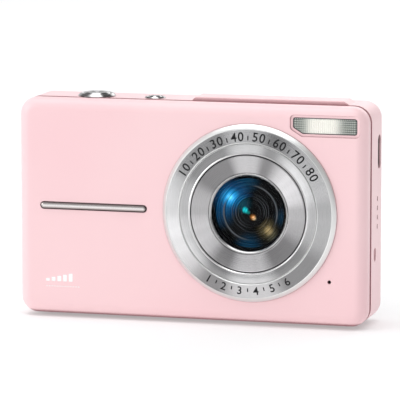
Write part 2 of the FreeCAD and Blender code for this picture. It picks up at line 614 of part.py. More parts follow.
def strap_pin():
    return rod_z(STRAP_PIN_X, STRAP_Y, 0.6, STRAP_Z - 2.7, STRAP_Z + 2.7)


# ---------------------------------------------------------------- boards and what is on them
def main_board():
    plate = box(*BOARD_X, *BOARD_Y, *BOARD_Z)
    tab = box(BOARD_X[1] - 0.5, SIDE_X - WALL - 0.4, *BOARD_Y, USB_Z - 6.0, USB_Z + 6.0)
    return without(union([plate, tab]), [rod_y(x, z, SCREW_HOLE_R, 0, 6) for x, z in STANDOFFS])


def board_chips():
    """Processor, memory, flash coil and two regulators, on the board's front."""
    places = [
        (-6.6, 3.4, 34.0, 44.0, 1.1), (-6.4, 1.6, 20.0, 28.0, 1.0), (4.0, 9.0, 12.0, 18.0, 3.6),
        (25.0, 28.4, 16.0, 19.4, 1.2), (25.0, 29.0, 43.0, 47.0, 1.2),
    ]
    face = BOARD_Y[0]
    return Part.makeCompound([
        box(x0, x1, face - tall, face, BASE_Z + h0, BASE_Z + h1) for x0, x1, h0, h1, tall in places
    ])


def control_board():
    """The board behind the rear keys, with a neck up to the zoom rocker."""
    low = box(-46.2, -21.3, *CONTROL_BOARD_Y, BASE_Z + 8.0, KEY_ROWS_Z[0] + 3.4)
    neck = box(PAD_KEY_X - 7.2, PAD_KEY_X + 7.2, *CONTROL_BOARD_Y, KEY_ROWS_Z[0], ZOOM_Z + 2.4)
    return union([low, neck])


def key_centres():
    """Where each rear switch sits: centre, four arc keys, four round keys and the rocker's two."""
    arm = sum(NAV_R) / 2
    places = [(PAD_KEY_X + dx, PAD_KEY_Z + dz) for dx, dz in ((0, 0), (0, arm), (arm, 0), (0, -arm), (-arm, 0))]
    places += [(x, z) for x in KEY_COLS_X for z in KEY_ROWS_Z]
    return places + [(PAD_KEY_X + dx, ZOOM_Z) for dx in (-ZOOM_ARM, ZOOM_ARM)]


def key_domes():
    y0, y1 = CONTROL_BOARD_Y[1], CONTROL_BOARD_Y[1] + DOME_HEIGHT
    domes = [rod_y(x, z, 1.9, y0, y1) for x, z in key_centres()]
    return Part.makeCompound([dome.makeChamfer(0.15, edges_at_y(dome, y1)) for dome in domes])


def top_board():
    return box(-36.0, -8.0, -2.4, 3.5, *TOP_BOARD_Z)


def top_switches():
    """The two-step switch under the shutter button, and the one under the power button."""
    made = []
    for x, half, z1 in ((SHUTTER_X, 2.25, SHUTTER_SWITCH_Z), (POWER_X, 1.8, POWER_SWITCH_Z)):
        body = box(x - half, x + half, TOP_KEY_Y - half, TOP_KEY_Y + half, TOP_BOARD_Z[1], z1 - 0.3)
        made.append(union([body, rod_z(x, TOP_KEY_Y, 1.0, z1 - 0.5, z1)]))
    return Part.makeCompound(made)


def ribbon_cables():
    """Flat cables: control board to main board, and the screen's, folded under its lower edge."""
    thick, z0, z1 = 0.15, BASE_Z + 24.0, BASE_Z + 31.0
    joint_x, board_x, run_y = -21.6, BOARD_X[0] + 1.8, BOARD_Y[1] + 0.45
    control = union([
        box(joint_x, joint_x + thick, run_y, CONTROL_BOARD_Y[0], z0, z1),
        box(joint_x, board_x, run_y, run_y + thick, z0, z1),
        box(board_x - thick, board_x, BOARD_Y[1], run_y + thick, z0, z1),
    ])
    fold_z = LCD_Z - LCD_HEIGHT / 2
    fold_r = (LCD_Y[1] - BOARD_Y[1]) / 2
    fold_y = BOARD_Y[1] + fold_r
    x0, x1 = -3.0, 9.0
    tube = rod_x(fold_y, fold_z, fold_r, x0, x1).cut(rod_x(fold_y, fold_z, fold_r - thick, x0, x1))
    bend = tube.common(box(x0, x1, BOARD_Y[1], LCD_Y[1], fold_z - 2, fold_z))
    screen = union([bend, box(x0, x1, BOARD_Y[1], BOARD_Y[1] + thick, fold_z, fold_z + 4)])
    return Part.makeCompound([control, screen])


def lcd_module():
    """Light box and glass panel of the screen."""
    back, joint, front = LCD_Y
    x, z = LCD_LENGTH / 2, LCD_HEIGHT / 2
    light_box = box(LCD_X - x, LCD_X + x, back, joint, LCD_Z - z, LCD_Z + z)
    panel = box(LCD_X - x + 0.4, LCD_X + x - 0.4, joint, front, LCD_Z - z + 0.4, LCD_Z + z - 0.4)
    return union([light_box, panel])


def lcd_window():
    return rounded_slab(WINDOW_X, WINDOW_Z, 1.9, BACK_Y - WINDOW_THICK, BACK_Y)


def status_lamp():
    return rod_y(LAMP_X, ZOOM_Z, LAMP_R, BACK_INNER_Y - 0.6, BACK_Y + 0.1)


# ---------------------------------------------------------------- battery, card and door
def battery():
    sx, sy, sz = BATTERY_SIZE
    x0, y0 = BATTERY_X - sx / 2, BATTERY_Y - sy / 2
    cell = box(x0, x0 + sx, y0, y0 + sy, BATTERY_Z, BATTERY_Z + sz)
    return cell.makeFillet(1.0, along(cell, Vector(0, 0, 1)))


def contact_places():
    return [BATTERY_X + CONTACT_PITCH * i for i in (-1, 0, 1)]


def battery_holder():
    """The bay: a box round the battery, open below, with slots for its spring contacts."""
    sx, sy, sz = BATTERY_SIZE
    x0, x1 = BATTERY_X - sx / 2 - 0.2, BATTERY_X + sx / 2 + 0.2
    y0, y1 = BATTERY_Y - sy / 2 - FIT, BATTERY_Y + sy / 2 + FIT
    z0, z1 = FLOOR_Z + 0.4, BATTERY_Z + sz + 1.3
    shell = box(x0 - 0.6, x1 + 0.6, y0 - 0.5, y1 + 0.4, z0, z1 + 0.7)
    slots = [box(x - 1.2, x + 1.2, y0 + 1, y1 - 1, z1 - 1, z1 + 2) for x in contact_places()]
    return without(shell, [box(x0, x1, y0, y1, z0 - 1, z1)] + slots)


def battery_contacts():
    """Three bent leaves that reach down from the top of the bay to the battery's terminals."""
    r, thick = 1.1, 0.2
    z = BATTERY_Z + BATTERY_SIZE[2] + r + 0.05
    made = []
    for x in contact_places():
        x0, x1 = x - 0.9, x + 0.9
        leaf = rod_x(BATTERY_Y, z, r, x0, x1).cut(rod_x(BATTERY_Y, z, r - thick, x0, x1))
        leaf = leaf.common(box(x0, x1, BATTERY_Y - r, BATTERY_Y + r, z - r, z))
        tails = [box(x0, x1, y, y + thick, z, z + 0.85) for y in (BATTERY_Y - r, BATTERY_Y + r - thick)]
        made.append(union([leaf] + tails))
    return Part.makeCompound(made)


def memory_card():
    """A small flash card: one corner cut, and a finger lip at the end nearest the door."""
    sx, sy, sz = CARD_SIZE
    x0, x1, z1 = CARD_X - sx / 2, CARD_X + sx / 2, CARD_Z + sz
    outline = [(x0, CARD_Z), (x1, CARD_Z), (x1, z1), (x0 + 2.8, z1), (x0 + 1.3, z1 - 1.5), (x0, z1 - 1.5)]
    slab = prism_y(outline, CARD_Y - sy / 2, CARD_Y + sy / 2)
    return union([slab, box(x0, x1, CARD_Y + sy / 2 - 0.1, CARD_Y + sy / 2 + 0.2, CARD_Z, CARD_Z + 1.2)])


def card_socket():
    """The pressed shell of the push-push card socket, open towards the door."""
    sx, sy, sz = CARD_SIZE
    x0, x1 = CARD_X - sx / 2 - 0.2, CARD_X + sx / 2 + 0.2
    y0, y1 = CARD_Y - sy / 2 - FIT, CARD_Y + sy / 2 + FIT
    z0, z1 = CARD_Z + 2.0, CARD_Z + sz + CARD_PUSH + 0.2
    shell = box(x0 - 1.3, x1 + 1.3, y0 - 0.3, CONTROL_BOARD_Y[0], z0, z1 + 0.4)
    return shell.cut(box(x0, x1, y0, y1, z0 - 1, z1))


def battery_door():
    """The hinged door in the underside: plate, knuckle, finger groove and an inner rib."""
    y0, y1 = DOOR_Y
    plate = box(DOOR_X0, HINGE_X, y0, y1, BASE_Z, BASE_Z + DOOR_THICK)
    plate = plate.makeFillet(0.5, [e for e in along(plate, Vector(0, 0, 1)) if e.BoundBox.XMax < DOOR_X0 + 1])
    rib = box(DOOR_X0 + 2.0, HINGE_X - 6.0, 4.9, 5.4, BASE_Z + DOOR_THICK - 0.1, BASE_Z + DOOR_THICK + 0.7)
    groove = rod_y(DOOR_X0 + 1.6, BASE_Z, 0.5, 0.4, 5.8)
    door = union([plate, rod_y(HINGE_X, HINGE_Z, KNUCKLE_R, y0, y1), rib])
    return without(door, [groove, rod_y(HINGE_X, HINGE_Z, PIN_R + 0.05, y0 - 1, y1 + 1)])


def hinge_pin():
    return rod_y(HINGE_X, HINGE_Z, PIN_R, SEAM_REAR_Y + 0.35, DOOR_Y[1] + 0.8)


def tripod_insert():
    z0, flat = BASE_Z + 0.05, TRIPOD_BODY_R - 0.45
    body = rod_z(TRIPOD_X, TRIPOD_Y, TRIPOD_BODY_R, z0, z0 + 6.9)
    flats = [
        box(TRIPOD_X + x0, TRIPOD_X + x1, TRIPOD_Y - 6, TRIPOD_Y + 6, z0 + 3, z0 + 8)
        for x0, x1 in ((-6, -flat), (flat, 6))
    ]
    return without(body, [rod_z(TRIPOD_X, TRIPOD_Y, TRIPOD_R, 0, z0 + TRIPOD_DEPTH)] + flats)


# ---------------------------------------------------------------- buttons and keys
def shutter_ring():
    """The bright cup in which the shutter button travels."""
    r, body = SHUTTER_BORE_R, 4.6
    return turned_z([
        (body, TOP_Z), (SHUTTER_RING_R, TOP_Z), (SHUTTER_RING_R, TOP_Z + 0.35), (4.5, TOP_Z + 0.85),
        (r + 0.2, TOP_Z + 0.85), (r, TOP_Z + 0.65), (r, CUP_FLOOR_Z), (1.5, CUP_FLOOR_Z),
        (1.5, CUP_FLOOR_Z - 0.4), (body, CUP_FLOOR_Z - 0.4),
    ], SHUTTER_X, TOP_KEY_Y)


def shutter_button():
    """Dished cap, stem and the riveted collar that keeps the button in its cup."""
    top, skirt = TOP_Z + 1.15, TOP_Z - 0.2
    collar = CUP_FLOOR_Z - 0.45
    end = SHUTTER_SWITCH_Z + SHUTTER_TRAVEL + 0.05
    return turned_z([
        (0, top - 0.2), (1.6, top - 0.14), (2.9, top), (3.45, top), (3.75, top - 0.3), (3.75, skirt),
        (1.3, skirt), (1.3, collar), (1.9, collar), (1.9, collar - 0.5), (1.0, collar - 0.5), (1.0, end), (0, end),
    ], SHUTTER_X, TOP_KEY_Y)


def shutter_spring():
    """The return spring: a coil between the cup's floor and the cap."""
    wire, coil_r, turns = 0.14, 2.5, 4
    length = (TOP_Z - 0.2) - CUP_FLOOR_Z - 2 * wire - 0.04
    section = Part.Wire(Part.makeCircle(wire, Vector(coil_r, 0, 0), Vector(0, 1, 0)))
    coil = Part.Wire(Part.makeHelix(length / turns, length, coil_r)).makePipeShell([section], True, True)
    coil.translate(Vector(SHUTTER_X, TOP_KEY_Y, CUP_FLOOR_Z + wire + 0.02))
    return coil


def power_ring():
    r, body = POWER_BORE_R, 2.45
    return turned_z([
        (body, TOP_Z), (POWER_RING_R, TOP_Z), (POWER_RING_R, TOP_Z + 0.15), (2.6, TOP_Z + 0.4),
        (r + 0.15, TOP_Z + 0.4), (r, TOP_Z + 0.25), (r, TOP_Z - 1.9), (body, TOP_Z - 1.9),
    ], POWER_X, TOP_KEY_Y)


def power_button():
    top, flange = TOP_Z + 0.6, TOP_Z - 1.95
    end = POWER_SWITCH_Z + POWER_TRAVEL + 0.05
    return turned_z([
        (0, top), (1.3, top), (1.85, top - 0.3), (1.85, flange), (2.3, flange),
        (2.3, flange - 0.4), (1.0, flange - 0.4), (1.0, end), (0, end),
    ], POWER_X, TOP_KEY_Y)


def round_key(x, z, r):
    """A round key: the cap through the cover, and the flange that keeps it in."""
    face = BACK_Y + KEY_PROUD
    cap = rod_y(x, z, r, FLANGE_Y[0], face)
    cap = cap.makeFillet(0.3, edges_at_y(cap, face))
    return union([cap, rod_y(x, z, r + FLANGE, *FLANGE_Y)])


def nav_key(side):
    face = BACK_Y + KEY_PROUD
    cap = nav_sectors(0.0, FLANGE_Y[0], face)[side]
    cap = cap.makeChamfer(0.25, edges_at_y(cap, face))
    return union([cap, nav_sectors(FLANGE - 0.2, *FLANGE_Y)[side]])


def zoom_rocker():
    """The wide and tele key, which tips about stubs held in the rear cover's lugs."""
    half, r, face = ZOOM_LENGTH / 2, ZOOM_WIDTH / 2, BACK_Y + KEY_PROUD
    cap = stadium_y(PAD_KEY_X - half, PAD_KEY_X + half, ZOOM_Z, r, BACK_INNER_Y - 0.2, face)
    cap = cap.makeFillet(0.3, edges_at_y(cap, face))
    hub = box(PAD_KEY_X - 0.8, PAD_KEY_X + 0.8, 8.0, BACK_INNER_Y, ZOOM_Z - r + 0.1, ZOOM_Z + r - 0.1)
    stubs = rod_z(PAD_KEY_X, ZOOM_PIVOT_Y, PIN_R, ZOOM_Z - r - 1.3, ZOOM_Z + r + 1.3)
    feelers = [rod_y(PAD_KEY_X + dx, ZOOM_Z, 1.0, 8.3, BACK_INNER_Y) for dx in (-ZOOM_ARM, ZOOM_ARM)]
    return union([cap, hub, stubs] + feelers)


# ---------------------------------------------------------------- fasteners
def screw(place, direction):
    """A pan-head cross screw whose head's top is at place and whose tip is along direction."""
    head = Part.makeCylinder(SCREW_HEAD_R, SCREW_HEAD)
    shank = Part.makeCylinder(SCREW_R, SCREW_LENGTH)
    cross = [box(-0.9, 0.9, -0.15, 0.15, -0.1, 0.3), box(-0.15, 0.15, -0.9, 0.9, -0.1, 0.3)]
    made = without(union([head, shank]), cross)
    made.Placement = FreeCAD.Placement(place, FreeCAD.Rotation(Vector(0, 0, 1), direction))
    return made


def screws():
    made = [screw(Vector(x, SEAM_REAR_Y - 0.1, z), Vector(0, -1, 0)) for x, z in FRONT_SCREWS]
    made += [screw(Vector(x, BOARD_Y[1] + SCREW_HEAD, z), Vector(0, -1, 0)) for x, z in STANDOFFS]
    made += [screw(Vector(x, CASE_SCREW_Y, BASE_Z + 0.1), Vector(0, 0, 1)) for x in BOTTOM_SCREWS_X]
    made.append(screw(Vector(0.1 - SIDE_X, CASE_SCREW_Y, SIDE_SCREW_Z), Vector(1, 0, 0)))
    return Part.makeCompound(made)


# ---------------------------------------------------------------- the assembly
def build():
    pieces = [
        front_cover, mid_frame, rear_cover, top_pad, trim_bar, feet,
        lens_trim_ring, lens_middle_ring, lens_cone, lens_bezel, lens_mount_plate, cover_glass,
        lens_baffle, lens_barrel, lens_elements, lens_holder, ir_filter, image_sensor,
        flash_window, flash_reflector, flash_tube, flash_capacitor, microphone, speaker,
        usb_port, strap_pin, main_board, board_chips, control_board, key_domes, top_board,
        top_switches, ribbon_cables, lcd_module, lcd_window, status_lamp,
        battery, battery_holder, battery_contacts, memory_card, card_socket,
        battery_door, hinge_pin, tripod_insert, shutter_ring, shutter_button, shutter_spring,
        power_ring, power_button, zoom_rocker, screws,
    ]
    nodes = {make.__name__: make() for make in pieces}
    nodes["ok_key"] = round_key(PAD_KEY_X, PAD_KEY_Z, OK_R)
    # left and right as the person holding the camera sees its back, so the left key is on the +X side
    for side, name in enumerate(("up_key", "left_key", "down_key", "right_key")):
        nodes[name] = nav_key(side)
    corners = [(x, z) for z in KEY_ROWS_Z for x in KEY_COLS_X]
    for (x, z), name in zip(corners, ("mode_key", "play_key", "menu_key", "delete_key")):
        nodes[name] = round_key(x, z, KEY_R)
    return nodes


os.makedirs("parts", exist_ok=True)
for node, shape in build().items():
    if not all(solid.isValid() and solid.Volume > 0 for solid in shape.Solids):
        print("not a valid solid:", node)
    shape.exportStep("parts/" + node + ".step")
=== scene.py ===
import math

import bmesh
import bpy
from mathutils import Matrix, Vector


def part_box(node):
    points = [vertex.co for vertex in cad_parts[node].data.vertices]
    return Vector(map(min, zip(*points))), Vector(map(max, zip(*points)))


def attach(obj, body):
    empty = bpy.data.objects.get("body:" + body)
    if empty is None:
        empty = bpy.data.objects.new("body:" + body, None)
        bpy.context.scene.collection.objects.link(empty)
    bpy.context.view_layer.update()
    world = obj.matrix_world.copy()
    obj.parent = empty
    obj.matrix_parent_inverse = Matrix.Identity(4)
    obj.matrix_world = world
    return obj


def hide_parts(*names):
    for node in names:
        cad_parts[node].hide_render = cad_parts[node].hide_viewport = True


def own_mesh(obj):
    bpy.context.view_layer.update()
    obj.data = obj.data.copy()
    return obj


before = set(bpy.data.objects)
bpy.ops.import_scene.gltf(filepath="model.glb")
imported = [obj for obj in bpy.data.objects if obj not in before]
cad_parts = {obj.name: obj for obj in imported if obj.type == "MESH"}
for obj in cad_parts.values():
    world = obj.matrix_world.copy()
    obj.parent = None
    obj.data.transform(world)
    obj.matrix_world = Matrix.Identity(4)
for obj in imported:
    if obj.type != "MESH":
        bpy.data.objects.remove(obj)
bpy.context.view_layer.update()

# Lengths are in millimetres, in the CAD frame, until mesh_piece() turns them into metres.
MM = 0.001


# ---------------------------------------------------------------- places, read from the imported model
def span(node):
    """Lowest and highest corner of a CAD node, in millimetres."""
    low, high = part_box(node)
    return low / MM, high / MM


def middle(node):
    low, high = span(node)
    return (low + high) / 2


def radius_of(node):
    """Half of a CAD node's width along X."""
    low, high = span(node)
    return (high.x - low.x) / 2


LENS = middle("lens_trim_ring")
FRONT_Y = span("front_cover")[0].y
TOP_Z = span("rear_cover")[1].z
BASE_Z = span("rear_cover")[0].z
RING_R = radius_of("lens_trim_ring")
RING_Y = span("lens_trim_ring")[0].y
STEP_R = radius_of("lens_middle_ring")
CONE_R = radius_of("lens_cone")
BEZEL_R = radius_of("lens_bezel")
GLASS_R = radius_of("cover_glass")
BAND_R = RING_R - 1.2           # where the marked band meets the ring's bevel
INK = 0.025                     # how far printed marks stand off their surface
KEY_FACE_Y = span("ok_key")[1].y - 0.04
KEY_FLANGE_Y = 9.15             # the keys' flanges end here, behind the rear cover's wall


# ---------------------------------------------------------------- outlines and meshes
def soften(points, radius, steps=4, closed=True):
    """The outline with each clear corner replaced by an arc."""
    made, count = [], len(points)
    for i, point in enumerate(points):
        corner = Vector(point)
        if not closed and i in (0, count - 1):
            made.append(corner)
            continue
        before, after = Vector(points[i - 1]) - corner, Vector(points[(i + 1) % count]) - corner
        angle = before.angle(after)
        if angle > math.pi - 0.3:
            made.append(corner)
            continue
        cut = min(radius / math.tan(angle / 2), 0.45 * before.length, 0.45 * after.length)
        before.normalize()
        after.normalize()
        real_r = cut * math.tan(angle / 2)
        centre = corner + (before + after).normalized() * (real_r / math.sin(angle / 2))
        v0, v1 = corner + before * cut - centre, corner + after * cut - centre
        turn = math.pi - angle
        for k in range(steps + 1):
            t = k / steps
            swung = math.sin((1 - t) * turn) * v0 + math.sin(t * turn) * v1
            made.append(centre + swung / math.sin(turn))
    return [tuple(p) for p in made]


def polar(cx, cz, r, angle):
    """The point at r from (cx, cz), with its angle in degrees from +X towards +Z."""
    a = math.radians(angle)
    return (cx + r * math.cos(a), cz + r * math.sin(a))


def arc(cx, cz, r, start, end, steps):
    return [polar(cx, cz, r, start + (end - start) * i / steps) for i in range(steps + 1)]


def stadium(cx, cz, half, r, steps=16):
    """A long slot outline along X; half is half of its whole length."""
    reach = half - r
    return arc(cx + reach, cz, r, -90, 90, steps) + arc(cx - reach, cz, r, 90, 270, steps)


def inset(outline, d):
    """The outline moved inwards by d."""
    count = len(outline)
    area = sum(outline[i - 1][0] * outline[i][1] - outline[i][0] * outline[i - 1][1]
               for i in range(count))
    sign = 1 if area > 0 else -1
    made = []
    for i in range(count):
        a, b, c = Vector(outline[i - 1]), Vector(outline[i]), Vector(outline[(i + 1) % count])
        n1, n2 = (b - a).normalized(), (c - b).normalized()
        n1, n2 = Vector((-n1.y, n1.x)) * sign, Vector((-n2.y, n2.x)) * sign
        way = (n1 + n2).normalized()
        made.append(tuple(b + way * d / max(way.dot(n1), 0.5)))
    return made


def rectangle(x0, x1, z0, z1):
    return [(x0, z0), (x1, z0), (x1, z1), (x0, z1)]


def caps(count, layers):
    """The first and the last of several layers of count vertices, as faces."""
    return [list(range(count)), list(range(count * (layers - 1), count * layers))]


def walls(count, layers):
    """Faces that join each layer of count vertices to the next."""
    return [[k * count + i, k * count + j, (k + 1) * count + j, (k + 1) * count + i]
            for k in range(layers - 1) for i in range(count) for j in [(i + 1) % count]]


def prism(near, far):
    """A solid between two outlines in space that have as many points."""
    return near + far, caps(len(near), 2) + walls(len(near), 2)


def plate(outline, y_back, y_face, bevel=0.0, steps=3):
    """A slab across Y from an (x, z) outline, with a rounded edge at its face: vertices and faces."""
    side = 1 if y_face > y_back else -1
    layers = [(0.0, y_back), (0.0, y_face)]
    if bevel:
        quarter = [math.pi / 2 * k / steps for k in range(steps + 1)]
        layers[1:] = [(bevel * (1 - math.cos(a)), y_face - side * bevel * (1 - math.sin(a)))
                      for a in quarter]
        layers.append((bevel + 0.04, y_face))       # keeps the shading of the face flat
    count = len(outline)
    verts = [(x, y, z) for d, y in layers for x, z in (inset(outline, d) if d else outline)]
    return verts, caps(count, len(layers)) + walls(count, len(layers))


def hollow_plate(outer, inner, y0, y1):
    """A flat ring across Y between two outlines that have as many points."""
    count = len(outer)
    verts = [(x, y, z) for y in (y0, y1) for ring in (outer, inner) for x, z in ring]
    faces = []
    for i in range(count):
        j = (i + 1) % count
        for a, b in ((0, 1), (2, 3), (0, 2), (1, 3)):
            faces.append([a * count + i, a * count + j, b * count + j, b * count + i])
    return verts, faces


def turned(profile, centre, axis="Y", segments=160):
    """A turned solid from (radius, place along the axis) points: vertices and faces."""
    verts, rings = [], []
    for r, h in profile:
        count = 1 if r < 1e-6 else segments
        rings.append((len(verts), count))
        for i in range(count):
            a = 2 * math.pi * i / segments
            u, v = centre[0] + r * math.cos(a), centre[1] + r * math.sin(a)
            verts.append((u, h, v) if axis == "Y" else (u, v, h))
    pairs = list(zip(rings, rings[1:]))
    if rings[0][1] > 1 or rings[-1][1] > 1:
        pairs.append((rings[-1], rings[0]))
    faces = []
    for (a, na), (b, nb) in pairs:
        for i in range(segments if max(na, nb) > 1 else 0):
            j = (i + 1) % segments
            faces.append(list(dict.fromkeys([a + i % na, a + j % na, b + j % nb, b + i % nb])))
    return verts, faces


def block(x0, x1, y0, y1, z0, z1, bevel=0.0):
    """A box with softened upright edges, as a plate across Y."""
    outline = rectangle(x0, x1, z0, z1)
    return plate(soften(outline, bevel, 3) if bevel else outline, y1, y0)


def combine(solids):
    """Several (vertices, faces) solids as one."""
    verts, faces = [], []
    for v, f in solids:
        faces += [[i + len(verts) for i in face] for face in f]
        verts += v
    return verts, faces


def new_mesh(name, verts, faces):
    mesh = bpy.data.meshes.new(name)
    mesh.from_pydata([tuple(c * MM for c in v) for v in verts], [], faces)
    return mesh


def new_object(name, data):
    made = bpy.data.objects.new(name, data)
    bpy.context.scene.collection.objects.link(made)
    return made


def mesh_piece(name, solid, look, slot, replaces=(), body="casing", sharp=32, second=None):
    """A piece with its look, on its body; second is (look, test) for the faces that look different."""
    mesh = new_mesh(name, *solid)
    work = bmesh.new()
    work.from_mesh(mesh)
    bmesh.ops.recalc_face_normals(work, faces=work.faces)
    work.to_mesh(mesh)
    work.free()
    mesh.materials.append(looks[look])
    if second:
        mesh.materials.append(looks[second[0]])
        for face in mesh.polygons:
            face.material_index = int(second[1](face.center / MM))
    mesh.shade_smooth()
    mesh.set_sharp_from_angle(angle=math.radians(sharp))
    piece = new_object(name, mesh)
    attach(piece, body)
    if replaces:
        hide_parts(*replaces)
    return piece


# ---------------------------------------------------------------- materials
class Paint:
    """A node material whose patterns are laid out in the frame's own coordinates."""

    def __init__(self, name, color, sockets):
        self.material = bpy.data.materials.new(name)
        self.material.use_nodes = True
        self.tree = self.material.node_tree
        self.shader = self.tree.nodes["Principled BSDF"]
        self.color = (*color, 1)
        self.shader.inputs["Base Color"].default_value = self.color
        for socket, value in sockets.items():
            self.shader.inputs[socket].default_value = value
        self.place = self.add("ShaderNodeTexCoord").outputs["Object"]

    def add(self, kind, inputs=None, **settings):
        node = self.tree.nodes.new(kind)
        for key, value in settings.items():
            setattr(node, key, value)
        for key, value in (inputs or {}).items():
            if isinstance(value, bpy.types.NodeSocket):
                self.tree.links.new(value, node.inputs[key])
            else:
                node.inputs[key].default_value = value
        return node

    def join(self, output, socket):
        self.tree.links.new(output, self.shader.inputs[socket])

    def math(self, operation, a, b=0.0):
        return self.add("ShaderNodeMath", {0: a, 1: b}, operation=operation).outputs[0]

    def vector(self, operation, a, b=(0, 0, 0), output=0):
        return self.add("ShaderNodeVectorMath", {0: a, 1: b}, operation=operation).outputs[output]

    def noise(self, size, detail=3.0, stretch=(1, 1, 1)):
        """Noise whose features are about size millimetres."""
        where = self.vector("MULTIPLY", self.place, stretch)
        inputs = {"Vector": where, "Scale": 1 / (size * MM), "Detail": detail}
        return self.add("ShaderNodeTexNoise", inputs).outputs["Fac"]

    def line_noise(self, along, scale, detail):
        """Noise that changes only with along, such as tool marks with the radius."""
        inputs = {"W": along, "Scale": scale, "Detail": detail}
        return self.add("ShaderNodeTexNoise", inputs, noise_dimensions="1D").outputs["Fac"]

    def stripes(self, along):
        """0 in the middle of each whole step of along, 0.5 at the step's ends."""
        return self.math("ABSOLUTE", self.math("SUBTRACT", self.math("FRACT", along), 0.5))

    def ramp(self, value, low, high, out_low=0.0, out_high=1.0):
        """value from low..high to out_low..out_high, clamped and eased."""
        inputs = {"Value": value, 1: low, 2: high, 3: out_low, 4: out_high}
        return self.add("ShaderNodeMapRange", inputs, interpolation_type="SMOOTHSTEP").outputs[0]

    def mix(self, share, a, b, blend="MIX"):
        inputs = {0: share, 6: a, 7: b}
        return self.add("ShaderNodeMix", inputs, data_type="RGBA", blend_type=blend).outputs[2]

    def offset(self, centre, axes=(1, 0, 1)):
        """The way from centre in metres, only along the chosen axes."""
        return self.vector("MULTIPLY", self.vector("SUBTRACT", self.place, Vector(centre) * MM), axes)

    def distance(self, centre, axes=(1, 0, 1)):
        """Millimetres from centre, measured only along the chosen axes."""
        return self.math("DIVIDE", self.vector("LENGTH", self.offset(centre, axes), output="Value"), MM)

    def roughen(self, value, low, high):
        self.join(self.ramp(value, 0.3, 0.7, low, high), "Roughness")

    def tint(self, value, other, low=0.3, high=0.7):
        self.color = self.mix(self.ramp(value, low, high), self.color, (*other, 1))
        self.join(self.color, "Base Color")

    def bump(self, height, depth, strength=1.0):
        """Raises the surface by depth millimetres where height is 1."""
        chain = self.shader.inputs["Normal"]
        inputs = {"Height": height, "Distance": depth * MM, "Strength": strength}
        if chain.is_linked:
            inputs["Normal"] = chain.links[0].from_socket
        self.join(self.add("ShaderNodeBump", inputs).outputs[0], "Normal")


def pink_paint(name, color, deeper):
    """Satin pearl paint: orange peel, pearl flecks, a drift in colour, and painted shade that makes it
    deeper in creases and holes.
    """
    paint = Paint(name, color, {"Coat Weight": 0.16, "Coat Roughness": 0.2, "Specular IOR Level": 0.32})
    paint.tint(paint.noise(38, 1.5), deeper, 0.35, 0.75)
    # painted shade: the colour turns to a deep pink where ambient occlusion finds creases and holes
    open_share = paint.add("ShaderNodeAmbientOcclusion", {"Distance": 2.4 * MM}, samples=8).outputs["AO"]
    crease_shade_color = tuple(c * t for c, t in zip(color, (0.30, 0.13, 0.15)))
    paint.tint(paint.math("SUBTRACT", 1.0, open_share), crease_shade_color, 0.17, 0.7)
    flecks = paint.noise(0.16, 2)
    paint.roughen(flecks, 0.34, 0.46)
    paint.bump(paint.noise(0.9, 2), 0.004)
    paint.bump(flecks, 0.0015)
    return paint.material


# painted highlights on the turned rings and buttons, as bright fans: (clock angle, half width, strength);
# painted shade, darker metal, lies between them
HIGHLIGHT_FANS = [(-2, 21, 0.72), (58, 36, 1.0), (92, 34, 0.55), (176, 27, 0.9), (246, 34, 1.0), (276, 30, 0.6)]
BUTTON_HIGHLIGHT_FANS = [(15, 26, 0.9), (105, 40, 0.8), (195, 30, 1.0), (285, 40, 0.8)]
TOOL_LINE = 0.09                # spacing of the lathe's marks


def spun_metal(name, color, centre, axis="Y", roughness=(0.2, 0.34), anisotropy=0.75, sheen_streak=0.0, highlight_fans=(),
               painted_shade=0.4):
    """Turned metal: fine circular tool lines, real anisotropic highlights, painted sheen streaks, and
    painted highlights that fan out across them, with painted shade between.
    """
    paint = Paint(name, color, {"Metallic": 1.0, "Anisotropic": anisotropy})
    axes = (1, 0, 1) if axis == "Y" else (1, 1, 0)
    lines = paint.line_noise(paint.distance(centre, axes), 1 / TOOL_LINE, 2.0)
    paint.roughen(lines, *roughness)
    paint.bump(lines, 0.002)
    ray = paint.vector("NORMALIZE", paint.offset(centre, axes))
    # painted sheen: streaks of darker metal that run out from the axis, standing in for the streaks of
    # highlight on spun metal
    sheen_streaks = paint.add("ShaderNodeTexNoise", {"Vector": ray, "Scale": 9.0, "Detail": 4.0}).outputs["Fac"]
    paint.tint(sheen_streaks, tuple(c * (1 - sheen_streak) for c in color))
    # painted highlights: the base colour is bright inside each fan, and darker, as painted shade, between
    # the fans
    painted_light = 0.0
    for clock, half, strength in highlight_fans:
        a = math.radians(clock)
        facing = (math.sin(a), 0, math.cos(a)) if axis == "Y" else (math.sin(a), -math.cos(a), 0)
        along = paint.vector("DOT_PRODUCT", ray, facing, "Value")
        edge = math.cos(math.radians(half))
        painted_light = paint.math("MAXIMUM", paint.ramp(along, edge, 1.0, 0.0, strength), painted_light)
    if highlight_fans:
        paint.color = paint.mix(painted_light, (*[c * painted_shade for c in color], 1), paint.color)
        paint.join(paint.color, "Base Color")
    tangent = paint.add("ShaderNodeTangent", direction_type="RADIAL", axis=axis)
    paint.join(tangent.outputs[0], "Tangent")
    return paint.material


def bright_metal(name, color, roughness=(0.07, 0.15)):
    """Plated and polished, with faint handling marks."""
    paint = Paint(name, color, {"Metallic": 1.0})
    paint.roughen(paint.noise(1.4, 4), *roughness)
    paint.bump(paint.noise(0.5, 3, (1, 4, 4)), 0.0012)
    paint.tint(paint.noise(6), tuple(c * 0.9 for c in color))
    return paint.material


